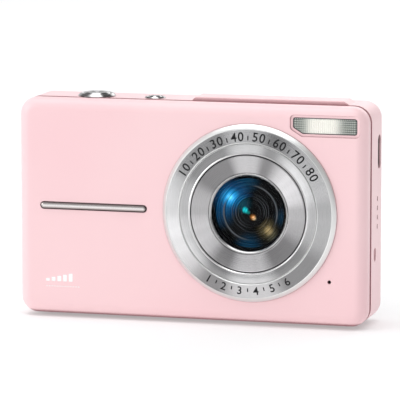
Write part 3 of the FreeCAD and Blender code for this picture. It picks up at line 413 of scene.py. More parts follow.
def bar_metal():
    """The grip bar: polished along its crest, with painted shade that darkens it where it turns down to
    its shoulders.
    """
    paint = Paint("bar_chrome", (0.84, 0.80, 0.79), {"Metallic": 1.0})
    low, high = span("trim_bar")
    half = (high.z - low.z) / 2
    along = paint.distance(((low.x + high.x) / 2, 0, 0), (1, 0, 0))
    past = paint.math("MAXIMUM", paint.math("SUBTRACT", along, (high.x - low.x) / 2 - half), 0.0)
    across = paint.distance((0, 0, (low.z + high.z) / 2 + 0.04), (0, 0, 1))
    squares = paint.math("ADD", paint.math("POWER", past, 2.0), paint.math("POWER", across, 2.0))
    crest = paint.math("SQRT", squares)
    # painted shade: darker metal, then near black, towards the bar's shoulders and its ends
    paint.tint(crest, (0.42, 0.37, 0.36), half * 0.1, half * 0.62)
    paint.tint(crest, (0.06, 0.042, 0.042), half * 0.58, half * 0.86)
    paint.roughen(paint.noise(0.2, 4, (0.02, 1, 1)), 0.16, 0.3)
    paint.bump(paint.noise(0.08, 2, (0.02, 1, 1)), 0.001)
    return paint.material


def moulded(name, color, roughness=(0.42, 0.6), grain=0.22, depth=0.006):
    """Moulded plastic with a spark-eroded grain."""
    paint = Paint(name, color, {})
    paint.roughen(paint.noise(grain * 2), *roughness)
    paint.bump(paint.noise(grain, 2), depth)
    paint.tint(paint.noise(9), tuple(c * 0.82 for c in color))
    return paint.material


def ink(name, color):
    """Pad-printed ink: even, with a slightly rough edge to its gloss."""
    paint = Paint(name, color, {"Specular IOR Level": 0.22})
    paint.roughen(paint.noise(0.12), 0.4, 0.6)
    paint.tint(paint.noise(1.5), tuple(min(1, c * 1.1 + 0.005) for c in color))
    paint.bump(paint.noise(0.1), 0.001)
    return paint.material


def clear_glass(name, color, ior=1.5):
    """Polished glass with the faintest unevenness; a low ior stands for a coating against reflections."""
    paint = Paint(name, color, {"Transmission Weight": 1.0, "Roughness": 0.0, "IOR": ior})
    paint.tint(paint.noise(5), tuple(c * 0.97 for c in color))
    paint.bump(paint.noise(7, 1), 0.0004)
    return paint.material


def glow(paint, spots):
    """Painted reflections of the coatings, as glowing spots added up; a spot is (dx, dz, core, reach,
    colour, strength).
    """
    total = (0, 0, 0, 1)
    for dx, dz, core, reach, color, strength in spots:
        away = paint.distance((LENS.x + dx, 0, LENS.z + dz))
        share = paint.ramp(away, reach, core, 0.0, 1.0)
        painted_light = paint.mix(share, (0, 0, 0, 1), (*[c * strength for c in color], 1))
        total = paint.mix(1.0, total, painted_light, "ADD")
    paint.shader.inputs["Emission Strength"].default_value = 1.0
    return total


# painted reflections of the coatings, as glowing spots in the form the function above takes them
BLUE_HALO = (-4.9, 4.0, 0.2, 6.2, (0.003, 0.12, 0.34), 1.0)
BLUE_CORE = (-5.5, 3.9, 0.1, 3.2, (0.03, 0.50, 1.0), 1.0)
BLUE_HEART = (-5.6, 3.9, 0.1, 1.3, (0.20, 0.55, 0.30), 1.0)
GOLD_HALO = (4.5, -4.2, 0.1, 3.6, (0.15, 0.12, 0.055), 0.9)
GOLD_CORE = (5.0, -4.7, 0.1, 1.7, (0.42, 0.30, 0.13), 0.9)
GOLD_TAIL = (6.2, -6.0, 0.1, 2.6, (0.07, 0.07, 0.045), 0.9)
NAVY_LOW = (-0.5, -9.4, 0.6, 4.6, (0.002, 0.045, 0.10), 1.0)
NAVY_LEFT = (-8.8, 0.5, 0.8, 6.0, (0.002, 0.055, 0.14), 1.0)
NAVY_TOP = (-1.0, 9.2, 0.5, 4.5, (0.002, 0.05, 0.11), 1.0)
NAVY_RIGHT = (9.4, -1.0, 0.5, 3.4, (0.002, 0.028, 0.06), 1.0)
TEAL_HAZE = (-2.6, 2.2, 0.1, 3.4, (0.003, 0.07, 0.11), 1.0)
CYAN_DOT = (-1.6, 0.55, 0.15, 1.1, (0.01, 0.95, 1.0), 1.0)
CYAN_TAIL = (-0.8, -0.1, 0.05, 0.7, (0.01, 0.35, 0.30), 1.0)
AMBER_DOT = (0.55, -1.3, 0.1, 1.05, (0.75, 0.25, 0.04), 1.0)
AMBER_CORE = (0.8, -1.55, 0.05, 0.8, (0.9, 0.75, 0.40), 1.0)
# painted glints on the edges of the rings inside, as thin arcs: (radius, half width, grey)
PAINTED_GLINTS = [(7.35, 0.34, 0.085), (5.0, 0.12, 0.05), (4.25, 0.12, 0.06), (3.6, 0.12, 0.055),
          (2.6, 0.1, 0.03)]
PAINTED_GLINT_WAY = Vector((0.875, 0, 0.485))       # from the lens axis towards the middle of the arcs


def coated_black(name, spots, roughness=(0.25, 0.4)):
    """Blackened metal or glass deep in the lens, with painted reflections of the coatings glowing on it,
    and painted glints on its rings' edges.
    """
    paint = Paint(name, (0.0012, 0.0014, 0.002), {"Specular IOR Level": 0.05})
    radius = paint.distance(LENS)
    lines = paint.line_noise(radius, 3.2, 3.0)
    paint.roughen(lines, *roughness)
    paint.bump(lines, 0.02)
    # painted reflections glow through the emission, broken up along the tool lines
    source = paint.mix(paint.ramp(lines, 0.36, 0.62, 0.25, 1.0), (0, 0, 0, 1), glow(paint, spots))
    # the painted glint arcs show only at the upper right and the lower left
    along = paint.vector("DOT_PRODUCT", paint.offset(LENS), PAINTED_GLINT_WAY / MM, "Value")
    cosine = paint.math("DIVIDE", paint.math("ABSOLUTE", along), radius)
    painted_glint_sides = paint.ramp(cosine, 0.45, 0.88)
    for r, width, grey in PAINTED_GLINTS:
        line = paint.ramp(paint.math("ABSOLUTE", paint.math("SUBTRACT", radius, r)), width, width * 0.3)
        line = paint.math("MULTIPLY", line, painted_glint_sides)
        source = paint.mix(line, source, (grey * 0.9, grey, grey * 1.08, 1))
    paint.join(source, "Emission Color")
    return paint.material


# the rows are painted shade, seen behind the ribs
RIB_PITCH, SHADE_ROW_PITCH = 0.52, 0.6            # the flash window's ribs, and the rows seen behind them


def flash_plastic():
    """Clear ribbed window over a bright reflector: a painted reflection of the reflector, cream, in the
    middle, grey-green at its ends, with painted shade between the ribs and in rows behind them.
    """
    low, high = span("flash_window")
    centre = (low + high) / 2
    gloss = {"Specular IOR Level": 0.6, "Coat Weight": 0.6, "Coat Roughness": 0.08}
    paint = Paint("flash_clear", (0.60, 0.63, 0.58), gloss)
    away = paint.distance((centre.x - 0.5, 0, 0), (1, 0, 0))
    half = (high.x - low.x) / 2
    # painted reflection: the bright reflector behind shows as cream in the middle
    paint.tint(paint.ramp(away, half * 0.85, 0.0), (1.0, 0.99, 0.92), 0.08, 0.7)
    # painted shade in the valleys between the ribs, stronger towards the ends
    valley = paint.stripes(paint.math("DIVIDE", away, RIB_PITCH))
    edge = paint.math("MULTIPLY", paint.ramp(valley, 0.18, 0.5), paint.ramp(away, half * 0.1, half * 0.8))
    paint.tint(edge, (0.07, 0.085, 0.075), 0.0, 1.0)
    # painted shade in rows behind the ribs, towards the ends
    gap = paint.stripes(paint.math("DIVIDE", paint.distance((0, 0, low.z), (0, 0, 1)), SHADE_ROW_PITCH))
    painted_shade = paint.math("MULTIPLY", paint.ramp(gap, 0.15, 0.5), paint.ramp(away, half * 0.35, half * 0.8))
    paint.tint(painted_shade, (0.12, 0.14, 0.125), 0.0, 1.1)
    rows = paint.add("ShaderNodeTexWave", {"Vector": paint.place, "Scale": 1 / (0.55 * MM * 6.28)},
                     bands_direction="Z").outputs["Fac"]
    paint.bump(rows, 0.05, 0.6)
    paint.roughen(paint.noise(0.3), 0.12, 0.25)
    return paint.material


def cell_wrap():
    """The battery's film: silver grey, with a dark band and a row of thin printed lines."""
    paint = Paint("cell_wrap_film", (0.40, 0.41, 0.43), {"Coat Weight": 0.3, "Coat Roughness": 0.15})
    up = paint.distance(span("battery")[0], (0, 0, 1))
    paint.tint(paint.ramp(up, 9.0, 9.1), (0.03, 0.035, 0.045), 0.4, 0.6)
    lines = paint.ramp(paint.stripes(paint.math("MULTIPLY", up, 1.1)), 0.36, 0.4)
    paint.tint(paint.math("MULTIPLY", lines, paint.ramp(up, 15.0, 15.1)), (0.5, 0.51, 0.53))
    paint.roughen(paint.noise(0.5), 0.3, 0.45)
    paint.bump(paint.noise(3, 2), 0.01)
    return paint.material


def screen_film():
    """The dark screen under its glass: smooth, with the fine grid of its cells."""
    paint = Paint("screen_panel_film", (0.004, 0.005, 0.007), {"Specular IOR Level": 0.3})
    cells = paint.add("ShaderNodeTexBrick", {"Vector": paint.place, "Scale": 2400.0, "Mortar Size": 0.05})
    paint.tint(cells.outputs["Fac"], (0.008, 0.009, 0.012), 0.2, 0.8)
    paint.roughen(paint.noise(12, 1), 0.16, 0.22)
    return paint.material


def circuit_green():
    """Solder mask over fine tracks."""
    paint = Paint("solder_mask", (0.012, 0.10, 0.045), {"Coat Weight": 0.4, "Coat Roughness": 0.2})
    tracks = paint.add("ShaderNodeTexBrick", {"Vector": paint.place, "Scale": 500.0, "Mortar Size": 0.09})
    paint.tint(tracks.outputs["Fac"], (0.03, 0.22, 0.09), 0.2, 0.8)
    paint.bump(tracks.outputs["Fac"], 0.02)
    paint.roughen(paint.noise(1), 0.3, 0.45)
    return paint.material


PINK = (0.96, 0.675, 0.695)
SHUTTER, POWER = middle("shutter_button"), middle("power_button")
looks = {
    "casing": pink_paint("pink_casing_paint", PINK, (0.955, 0.645, 0.672)),
    # the mid frame's dark pink is painted shade, for the shadowed crease between the covers
    "frame": pink_paint("pink_frame_painted_shade", (0.50, 0.22, 0.25), (0.46, 0.20, 0.225)),
    "keys": pink_paint("pink_key_paint", (0.95, 0.68, 0.71), (0.94, 0.64, 0.68)),
    "band": spun_metal("ring_band_metal", (0.70, 0.70, 0.705), LENS, sheen_streak=0.06, highlight_fans=HIGHLIGHT_FANS),
    "rim": spun_metal("ring_bevel_metal", (0.78, 0.79, 0.78), LENS, roughness=(0.3, 0.42),
                      anisotropy=0.3),
    "middle": spun_metal("middle_ring_metal", (0.72, 0.72, 0.725), LENS, sheen_streak=0.05, highlight_fans=HIGHLIGHT_FANS),
    "cone": spun_metal("dished_ring_metal", (0.70, 0.69, 0.70), LENS, sheen_streak=0.07, highlight_fans=HIGHLIGHT_FANS,
                       painted_shade=0.36),
    "bezel": bright_metal("bezel_chrome", (0.50, 0.50, 0.50), (0.18, 0.3)),
    "edge": bright_metal("polished_edge", (0.78, 0.78, 0.78), (0.14, 0.26)),
    "mirror": bright_metal("flash_mirror", (0.86, 0.86, 0.84)),
    "bar": bar_metal(),
    "shutter": spun_metal("shutter_chrome", (0.66, 0.65, 0.65), SHUTTER, axis="Z", roughness=(0.1, 0.2),
                          highlight_fans=BUTTON_HIGHLIGHT_FANS, painted_shade=0.22),
    "power": spun_metal("power_chrome", (0.66, 0.65, 0.65), POWER, axis="Z", roughness=(0.1, 0.2),
                        highlight_fans=BUTTON_HIGHLIGHT_FANS, painted_shade=0.22),
    "black_ink": ink("black_ink", (0.006, 0.006, 0.007)),
    "white_ink": ink("white_ink", (0.98, 0.97, 0.97)),
    "grey_ink": ink("grey_ink", (0.22, 0.15, 0.16)),
    "glass": clear_glass("front_glass", (0.97, 0.98, 1.0), 1.1),
    "baffle": coated_black("baffle_black", [
        BLUE_HALO, BLUE_CORE, BLUE_HEART, GOLD_HALO, GOLD_CORE, GOLD_TAIL, NAVY_LOW, NAVY_LEFT, NAVY_TOP,
        NAVY_RIGHT]),
    "nose": coated_black("barrel_black", [BLUE_HALO, GOLD_HALO, TEAL_HAZE]),
    "element": coated_black("element_painted_reflections", [CYAN_DOT, CYAN_TAIL, AMBER_DOT, AMBER_CORE, TEAL_HAZE],
                            (0.04, 0.1)),
    "inner_element": clear_glass("inner_element_glass", (0.75, 0.80, 0.95)),
    "flash": flash_plastic(),
    "black": moulded("black_plastic", (0.018, 0.018, 0.02)),
    "pane": clear_glass("screen_glass", (0.50, 0.52, 0.55), 1.4),
    "panel": screen_film(),
    "board": circuit_green(),
    "chip": moulded("chip_epoxy", (0.02, 0.02, 0.022), (0.5, 0.7), 0.1, 0.004),
    "steel": bright_metal("plated_steel", (0.62, 0.61, 0.60), (0.2, 0.34)),
    "dark_steel": bright_metal("dark_steel", (0.10, 0.095, 0.095), (0.3, 0.45)),
    "gold": bright_metal("contact_gold", (0.90, 0.66, 0.26), (0.14, 0.24)),
    "insert": bright_metal("insert_metal", (0.68, 0.67, 0.65), (0.24, 0.38)),
    "wrap": cell_wrap(),
    "card": moulded("card_plastic", (0.015, 0.045, 0.16), (0.35, 0.5), 0.2, 0.004),
    "can": moulded("capacitor_sleeve", (0.02, 0.03, 0.06), (0.3, 0.45)),
    "ribbon": moulded("ribbon_film", (0.62, 0.30, 0.06), (0.25, 0.4), 0.5, 0.004),
    "lamp": moulded("lamp_green", (0.30, 0.55, 0.22), (0.15, 0.25), 0.3, 0.002),
    "rubber": moulded("foot_rubber", (0.56, 0.33, 0.36), (0.7, 0.9), 0.16, 0.012),
}


# ---------------------------------------------------------------- CAD nodes that keep their own shape
KEPT = {
    "casing": ["front_cover", "rear_cover", "top_pad", "battery_door"],
    "frame": ["mid_frame"],
    "black": ["lens_mount_plate", "lens_holder", "battery_holder", "speaker", "top_switches"],
    "card": ["memory_card"],
    "panel": ["lcd_module"],
    "board": ["main_board", "control_board", "top_board"],
    "chip": ["board_chips", "image_sensor"],
    "steel": ["strap_pin", "hinge_pin", "card_socket", "key_domes", "screws"],
    # the microphone's dark steel is also painted shade, standing in for the dark of its hole
    "dark_steel": ["usb_port", "microphone"],
    "gold": ["battery_contacts"],
    "inner_element": ["ir_filter"],
    "can": ["flash_capacitor"],
    "ribbon": ["ribbon_cables"],
    "rubber": ["feet"],
}
for look, names in KEPT.items():
    for node_name in names:
        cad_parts[node_name].material_slots[0].material = looks[look]


# ---------------------------------------------------------------- lens
LENS_XZ = (LENS.x, LENS.z)
BAND_Y = FRONT_Y - 1.35         # the marked band rises from here to the ring's front
RINGS_BACK_Y = span("lens_trim_ring")[1].y
SEAT_Y = FRONT_Y - 0.2          # the front glass rests here in its rim
NOSE_R = 5.35                   # the baffle's last and smallest step, round the barrel's nose
ELEMENT_R = 4.1


def band_y(r):
    """Depth of the marked band's face at radius r."""
    return BAND_Y + (RING_Y - BAND_Y) * (BAND_R - r) / (BAND_R - STEP_R)


def lens_piece(name, profile, look, slot, node, segments=256, **extra):
    """A piece turned about the lens axis."""
    mesh_piece(name, turned(profile, LENS_XZ, segments=segments), look, slot, [node], **extra)


def from_axis(point):
    """How far a point is from the lens axis."""
    return math.hypot(point.x - LENS.x, point.z - LENS.z)


def make_marked_ring():
    """The outer ring: a bright bevel round the band that carries the dial."""
    step = STEP_R + 0.04
    ring = soften([
        (RING_R, FRONT_Y), (RING_R, FRONT_Y - 0.3), (RING_R - 0.25, FRONT_Y - 0.62),
        (BAND_R + 0.12, BAND_Y + 0.02), (BAND_R, BAND_Y + 0.1), (BAND_R - 0.12, BAND_Y - 0.02),
        (step + 0.36, RING_Y + 0.05), (step + 0.28, RING_Y), (step, RING_Y + 0.24), (step, RINGS_BACK_Y),
        (RING_R - 2.1, RINGS_BACK_Y), (RING_R - 2.1, FRONT_Y),
    ], 0.12)

    def bevel(point):
        return not step + 0.32 < from_axis(point) < BAND_R

    lens_piece("marked_ring", ring, "band", "ring_metal", "lens_trim_ring", second=("rim", bevel))


def make_inner_rings():
    """The middle ring with its bright edges, and the dished ring inside it."""
    face = span("lens_middle_ring")[0].y
    groove = CONE_R + 0.18
    middle_ring = soften([
        (STEP_R, face + 0.16), (STEP_R - 0.14, face), (groove + 0.75, face + 0.02),
        (groove + 0.5, face + 0.1), (groove + 0.3, face + 0.02), (groove, face + 0.25),
        (groove, RINGS_BACK_Y), (STEP_R, RINGS_BACK_Y),
    ], 0.08)

    def edge(point):
        return not groove + 0.42 < from_axis(point) < STEP_R - 0.15

    lens_piece("middle_ring", middle_ring, "middle", "ring_metal", "lens_middle_ring",
               second=("edge", edge))
    face = span("lens_cone")[0].y
    inner = BEZEL_R + 0.06
    cone = soften([
        (CONE_R, face + 0.3), (CONE_R - 0.22, face), (CONE_R - 0.5, face + 0.02),
        (inner + 0.2, FRONT_Y - 1.4), (inner, FRONT_Y - 1.3), (inner, RINGS_BACK_Y),
        (CONE_R, RINGS_BACK_Y),
    ], 0.1)
    lens_piece("dished_ring", cone, "cone", "ring_metal", "lens_cone")


def make_front_glass():
    """The thin bright rim, black where the glass sits in it, and the domed glass."""
    face = span("lens_bezel")[0].y
    bezel = soften([
        (BEZEL_R, face + 0.14), (BEZEL_R - 0.14, face), (BEZEL_R - 0.36, face),
        (GLASS_R + 0.08, face + 0.4), (GLASS_R + 0.08, SEAT_Y), (GLASS_R - 0.75, SEAT_Y),
        (GLASS_R - 0.75, RINGS_BACK_Y), (BEZEL_R, RINGS_BACK_Y),
    ], 0.1)

    def seat(point):
        return from_axis(point) < GLASS_R + 0.09

    lens_piece("glass_rim", bezel, "bezel", "bright_trim", "lens_bezel", second=("nose", seat))
    crown, rim = span("cover_glass")[0].y, FRONT_Y - 0.8
    steps = 14
    sag = [(GLASS_R * i / steps, (1 - (i / steps) ** 2)) for i in range(steps + 1)]
    front = [(r, rim + (crown - rim) * share) for r, share in sag]
    edge = [(GLASS_R - 0.08, rim), (GLASS_R, rim + 0.08)]
    rear = [(r, SEAT_Y - 0.02 - 0.28 * share) for r, share in reversed(sag)]
    lens_piece("front_glass", front[:-1] + edge + rear, "glass", "lens_glass", "cover_glass", 160)


def make_baffle():
    """The dark funnel behind the glass, in fine steps, and the nose of the barrel at its end."""
    low, high = span("lens_baffle")
    deep, steps = -7.4, 7
    start, rim_r = GLASS_R - 0.85, GLASS_R - 0.15
    funnel = [(start, low.y)]
    for i in range(1, steps + 1):
        r = start + (NOSE_R - start) * i / steps
        y = low.y + (deep - low.y) * i / steps
        funnel += [(r + 0.14, y - 0.11), (r + 0.02, y - 0.12), (r, y)]
    funnel += [(NOSE_R, high.y), (rim_r, high.y), (rim_r, RINGS_BACK_Y), (start, RINGS_BACK_Y)]
    lens_piece("stepped_baffle", funnel, "baffle", "black_plastic", "lens_baffle", 200, sharp=40)

    tip, end = span("lens_barrel")[0].y, span("lens_barrel")[1].y
    bore, nose_r = ELEMENT_R + 0.05, NOSE_R - 0.1
    body_r, shoulder, ledge, rear_bore = 5.9, -6.9, 0.4, 3.9
    nose = [
        (bore, tip + 0.35), (ELEMENT_R + 0.3, tip + 0.04), (ELEMENT_R + 0.55, tip),
        (ELEMENT_R + 0.6, tip + 0.1), (ELEMENT_R + 0.95, tip), (nose_r, tip), (nose_r, shoulder),
        (body_r, shoulder), (body_r, end), (rear_bore, end), (rear_bore, ledge), (bore, ledge),
    ]
    nose = soften(nose, 0.05)
    lens_piece("barrel_sleeve", nose, "nose", "black_plastic", "lens_barrel", 160, sharp=40)


def make_elements():
    """Three elements. The first one's face steps through fine grooves, like rings seen in a lens."""
    top = span("lens_elements")[0].y
    back = top + 1.0
    steps = [(0.9, 0.02), (1.45, 0.05), (1.5, 0.11), (2.15, 0.13), (2.2, 0.19), (3.0, 0.22), (3.05, 0.3)]
    first = [(0, top)] + [(r, top + dip) for r, dip in steps]
    first += [(ELEMENT_R - 0.1, top + 0.38), (ELEMENT_R, top + 0.46), (ELEMENT_R, back), (0, back)]
    second = [(0, -3.45), (2.2, -3.5), (ELEMENT_R, -3.6), (ELEMENT_R, -3.0), (0, -3.2)]
    third = [(0, -0.6), (2.2, -0.5), (ELEMENT_R, -0.35), (ELEMENT_R, 0.1), (2.2, 0.28), (0, 0.35)]
    stack = combine([turned(profile, LENS_XZ, segments=128) for profile in (first, second, third)])
    mesh_piece("lens_stack", stack, "element", "lens_glass", ["lens_elements"])


# ---------------------------------------------------------------- printed marks
def on_band(theta, r, depth):
    """A point on the marked band: theta in degrees clockwise from the top, depth out of its face."""
    a = math.radians(theta)
    return (LENS.x + r * math.sin(a), band_y(r) - depth, LENS.z + r * math.cos(a))


def band_patch(theta, width, r0, r1):
    """A small raised bar on the band, width millimetres wide."""
    half = math.degrees(width / 2 / ((r0 + r1) / 2))
    corners = [(theta - half, r0), (theta + half, r0), (theta + half, r1), (theta - half, r1)]
    return prism(*[[on_band(t, r, depth) for t, r in corners] for depth in (-INK, INK)])


def numeral(text, height):
    """The flat outline mesh of a number, centred: (x, y, front or back) vertices and faces."""
    curve = bpy.data.curves.new("numeral", "FONT")
    curve.body, curve.align_x, curve.extrude, curve.resolution_u = text, "CENTER", 0.1, 4
    curve.offset, curve.space_character = 0.012, 1.15
    holder = new_object("numeral", curve)
    bpy.context.view_layer.update()
    mesh = bpy.data.meshes.new_from_object(holder)
    ys = [v.co.y for v in mesh.vertices]
    scale = height / (max(ys) - min(ys))
    verts = [(v.co.x * scale, (v.co.y - min(ys)) * scale, v.co.z > 0) for v in mesh.vertices]
    faces = [list(p.vertices) for p in mesh.polygons]
    bpy.data.objects.remove(holder)
    return verts, faces


def ring_number(text, theta, height, outward=True):
    """A number that follows the band; outward numbers read from outside the top of the ring."""
    foot = (STEP_R + BAND_R - height) / 2
    sign = 1 if outward else -1
    verts = []
    flat, faces = numeral(text, height)
    for x, y, is_front in flat:
        r = foot + (y if outward else height - y)
        turn = sign * math.degrees(x / (foot + height / 2))
        verts.append(on_band(theta + turn, r, INK if is_front else -INK))
    return verts, faces


def make_dial():
    """A plain scale on the ring: 10 to 80 above, 1 to 6 below, and a tick between each two numbers."""
    height, above, below = 2.45, 16.4, 12.5     # of a number; degrees from one number to the next
    upper = [ring_number(str(10 * n), above * (n - 4.5), height) for n in range(1, 9)]
    lower = [ring_number(str(n), 180 - below * (n - 3.5), height * 0.9, outward=False)
             for n in range(1, 7)]
    mesh_piece("ring_numbers", combine(upper + lower), "black_ink", "black_plastic")
    ticks = [band_patch(above * (n - 4), 0.3, STEP_R + 1.0, STEP_R + 2.2) for n in range(1, 8)]
    ticks += [band_patch(180 - below * (n - 3), 0.3, STEP_R + 1.2, STEP_R + 2.2) for n in range(1, 6)]
    mesh_piece("ring_ticks", combine(ticks), "black_ink", "black_plastic")


def make_level_mark():
    """Graded bars over a row of dots, at the lower left of the front."""
    left, foot = -40.7, BASE_Z + 9.1
    back, face = FRONT_Y + 0.02, FRONT_Y - INK
    solids = []
    for i in range(5):
        x, top = left + 1.62 * i, foot + 0.8 + 0.36 * i
        solids.append(plate(soften(rectangle(x, x + 1.1, foot, top), 0.2, 3), back, face))
    for i in range(13):
        dot = arc(left + 0.3 + 0.75 * i, foot - 1.35, 0.16, 0, 340, 17)
        solids.append(plate(dot, back, face))
    mesh_piece("level_mark", combine(solids), "white_ink", "pink_casing")


# ---------------------------------------------------------------- front: flash, bar
def flash_outline(grow=0.0):
    """The window's face, grown by grow; its lower left corner is cut off."""
    low, high = span("flash_window")
    x0, x1, z0, z1 = low.x + 0.5 - grow, high.x - 0.5 + grow, low.z + 0.5 - grow, high.z - 0.5 + grow
    cut = 1.6 + 0.45 * grow
    return [(x0, z1), (x0, z0 + cut), (x0 + 1.6 * cut, z0), (x1, z0), (x1, z1)]


def flash_ribs():
    """Prismatic ribs on the window's face, shorter where the corner is cut off."""
    crest = span("flash_window")[0].y
    outline = flash_outline(-0.22)
    (x0, z1), cut_z, (slope_x, z0), x1 = outline[0], outline[1][1], outline[2], outline[3][0]
    half, base = RIB_PITCH * 0.47, crest + 0.24
    ribs = []
    for i in range(int((x1 - x0) / RIB_PITCH)):
        x = x0 + RIB_PITCH * (i + 0.5)
        foot = z0 + max(0.0, slope_x - x) * (cut_z - z0) / (slope_x - x0)
        section = [(x - half, base), (x - half * 0.35, crest + 0.02), (x + half * 0.35, crest + 0.02),
                   (x + half, base)]
        ribs.append(prism(*[[(px, py, z) for px, py in section] for z in (foot + 0.05, z1 - 0.05)]))
    return ribs


def make_flash_window():
    """A ribbed pane, a flange that holds it in the cover, and a dark gasket round it."""
    low, high = span("flash_window")
    pane = plate(soften(flash_outline(), 0.55), high.y - 0.5, low.y + 0.22, 0.06)
    flange = plate(soften(flash_outline(0.5), 0.6), high.y, high.y - 0.52)
    mesh_piece("flash_pane", combine([pane, flange] + flash_ribs()), "flash", "flash_plastic",
               ["flash_window"], sharp=25)
    outer, inner = soften(flash_outline(0.04), 0.58), soften(flash_outline(-0.09), 0.5)
    mesh_piece("flash_gasket", hollow_plate(outer, inner, low.y + 0.3, low.y + 0.06), "black",
               "black_plastic")


def make_flash_mirror():
    """The reflector: a trough along X, thinner towards its lips."""
    low, high = span("flash_reflector")
    rows, wall = 24, 0.3
    mid, half = middle("flash_tube").z, (high.z - low.z) / 2
    verts = []
    for inwards in (wall, 0.0):
        for i in range(rows + 1):
            t = -1 + 2 * i / rows
            depth = (high.y - low.y) * (1 - t * t) - inwards * (1 - abs(t))
            z = mid + t * (half - inwards * 0.6)
            verts += [(x, low.y + max(depth, 0.0), z) for x in (low.x, high.x)]
    layer = 2 * (rows + 1)
    faces = [[a, a + 1, a + 3, a + 2] for start in (0, layer) for a in range(start, start + 2 * rows, 2)]
    faces += [[a, a + 2, a + 2 + layer, a + layer] for a in range(2 * rows)]
    faces += [[a, a + 1, a + 1 + layer, a + layer] for a in (0, 2 * rows)]
    mesh_piece("flash_mirror", (verts, faces), "mirror", "plated_steel", ["flash_reflector"])


def make_flash_lamp():
    """The flash tube, turned about X, with a narrow end at each side."""
    low, high = span("flash_tube")
    tube = middle("flash_tube")
    r = (high.z - low.z) / 2
    profile = soften([
        (0, low.x), (r * 0.5, low.x), (r * 0.55, low.x + 0.7), (r, low.x + 1.3), (r, high.x - 1.3),
        (r * 0.55, high.x - 0.7), (r * 0.5, high.x), (0, high.x),
    ], 0.3, closed=False)
    upright, faces = turned(profile, (tube.y, tube.z), "Z", 40)
    verts = [(x, y, z) for y, z, x in upright]
    mesh_piece("flash_lamp", (verts, faces), "inner_element", "flash_plastic", ["flash_tube"])


def make_grip_bar():
    """The slim bar on the grip side: a half-round crest with a fine shoulder."""
    low, high = span("trim_bar")
    cx, cz = (low.x + high.x) / 2, (low.z + high.z) / 2
    half, r = (high.x - low.x) / 2, (high.z - low.z) / 2
    foot, steps = FRONT_Y - 0.02, 8
    layers = [(0.0, high.y), (0.0, foot)]
    for k in range(1, steps):
        a = math.pi / 2 * k / steps
        layers.append((r * 0.9 * (1 - math.cos(a)), foot + (low.y - foot) * math.sin(a)))
    layers.append((r * 0.93, low.y))
    verts = [(x, y, z) for d, y in layers for x, z in stadium(cx, cz, half - d, r - d, 14)]
    count = len(verts) // len(layers)
    faces = caps(count, len(layers)) + walls(count, len(layers))
    mesh_piece("grip_bar", (verts, faces), "bar", "bright_trim", ["trim_bar"], sharp=60)


# ---------------------------------------------------------------- top: buttons
def make_shutter():
    """The bright cup, and the button in it with its stem and collar."""
    x, y = SHUTTER.x, SHUTTER.y
    outer, top = radius_of("shutter_ring"), span("shutter_ring")[1].z
    cap_r = radius_of("shutter_button")
    foot, crown = span("shutter_button")[0].z, span("shutter_button")[1].z
    bore, body, floor = cap_r + 0.15, 4.6, TOP_Z - 2.2
    cup = soften([
        (body, TOP_Z), (outer, TOP_Z), (outer, TOP_Z + 0.3), (outer - 0.2, TOP_Z + 0.5), (4.5, top),
        (bore + 0.2, top), (bore, top - 0.2), (bore, floor), (1.5, floor), (1.5, floor - 0.4),
        (body, floor - 0.4),
    ], 0.1)
    mesh_piece("shutter_cup", turned(cup, (x, y), "Z", 128), "shutter", "bright_trim", ["shutter_ring"])
    skirt, collar = TOP_Z - 0.2, floor - 0.45
    cap = [
        (0, crown - 0.22), (0.9, crown - 0.2), (1.7, crown - 0.13), (2.3, crown - 0.05), (2.75, crown),
        (3.1, crown - 0.02), (3.15, crown - 0.09), (3.3, crown - 0.1), (3.5, crown - 0.08),
        (cap_r, crown - 0.34), (cap_r, skirt), (1.3, skirt), (1.3, collar), (1.9, collar),
        (1.9, collar - 0.5), (1.0, collar - 0.5), (1.0, foot), (0, foot),
    ]
    mesh_piece("shutter_cap", turned(soften(cap, 0.06, closed=False), (x, y), "Z", 128), "shutter",
               "bright_trim", ["shutter_button"], "shutter")
    make_spring(x, y)


def make_spring(x, y):
    """The return spring as a swept wire."""
    low, high = span("shutter_spring")
    wire, turns, around, steps = 0.14, 4, 8, 160
    coil_r = radius_of("shutter_spring") - wire
    rise = high.z - low.z - 2 * wire
    verts = []
    for i in range(steps + 1):
        a = 2 * math.pi * turns * i / steps
        z = low.z + wire + rise * i / steps
        for k in range(around):
            b = 2 * math.pi * k / around
            r = coil_r + wire * math.cos(b)
            verts.append((x + r * math.cos(a), y + r * math.sin(a), z + wire * math.sin(b)))
    faces = walls(around, steps + 1) + caps(around, steps + 1)
    coil = mesh_piece("shutter_coil", (verts, faces), "steel", "plated_steel", ["shutter_spring"])
    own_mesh(coil)


def make_power():
    """The small power button and the bright ring round it."""
    x, y = POWER.x, POWER.y
    low, high = span("power_ring")
    outer, bore, wall_r = radius_of("power_ring"), 2.0, 2.45
    ring = soften([
        (wall_r, TOP_Z), (outer, TOP_Z), (outer, TOP_Z + 0.14), (2.6, high.z), (bore + 0.15, high.z),
        (bore, high.z - 0.12), (bore, low.z), (wall_r, low.z),
    ], 0.07)
    mesh_piece("power_collar", turned(ring, (x, y), "Z", 96), "power", "bright_trim", ["power_ring"])
    low, high = span("power_button")
    cap_r, stem_r, flange_r, flange = 1.85, 1.0, 2.3, TOP_Z - 1.95
    cap = [
        (0, high.z - 0.07), (0.8, high.z - 0.05), (1.1, high.z), (1.4, high.z), (cap_r, high.z - 0.3),
        (cap_r, flange), (flange_r, flange), (flange_r, flange - 0.4), (stem_r, flange - 0.4),
        (stem_r, low.z), (0, low.z),
    ]
    mesh_piece("power_cap", turned(soften(cap, 0.08, closed=False), (x, y), "Z", 96), "power",
               "bright_trim", ["power_button"], "power")


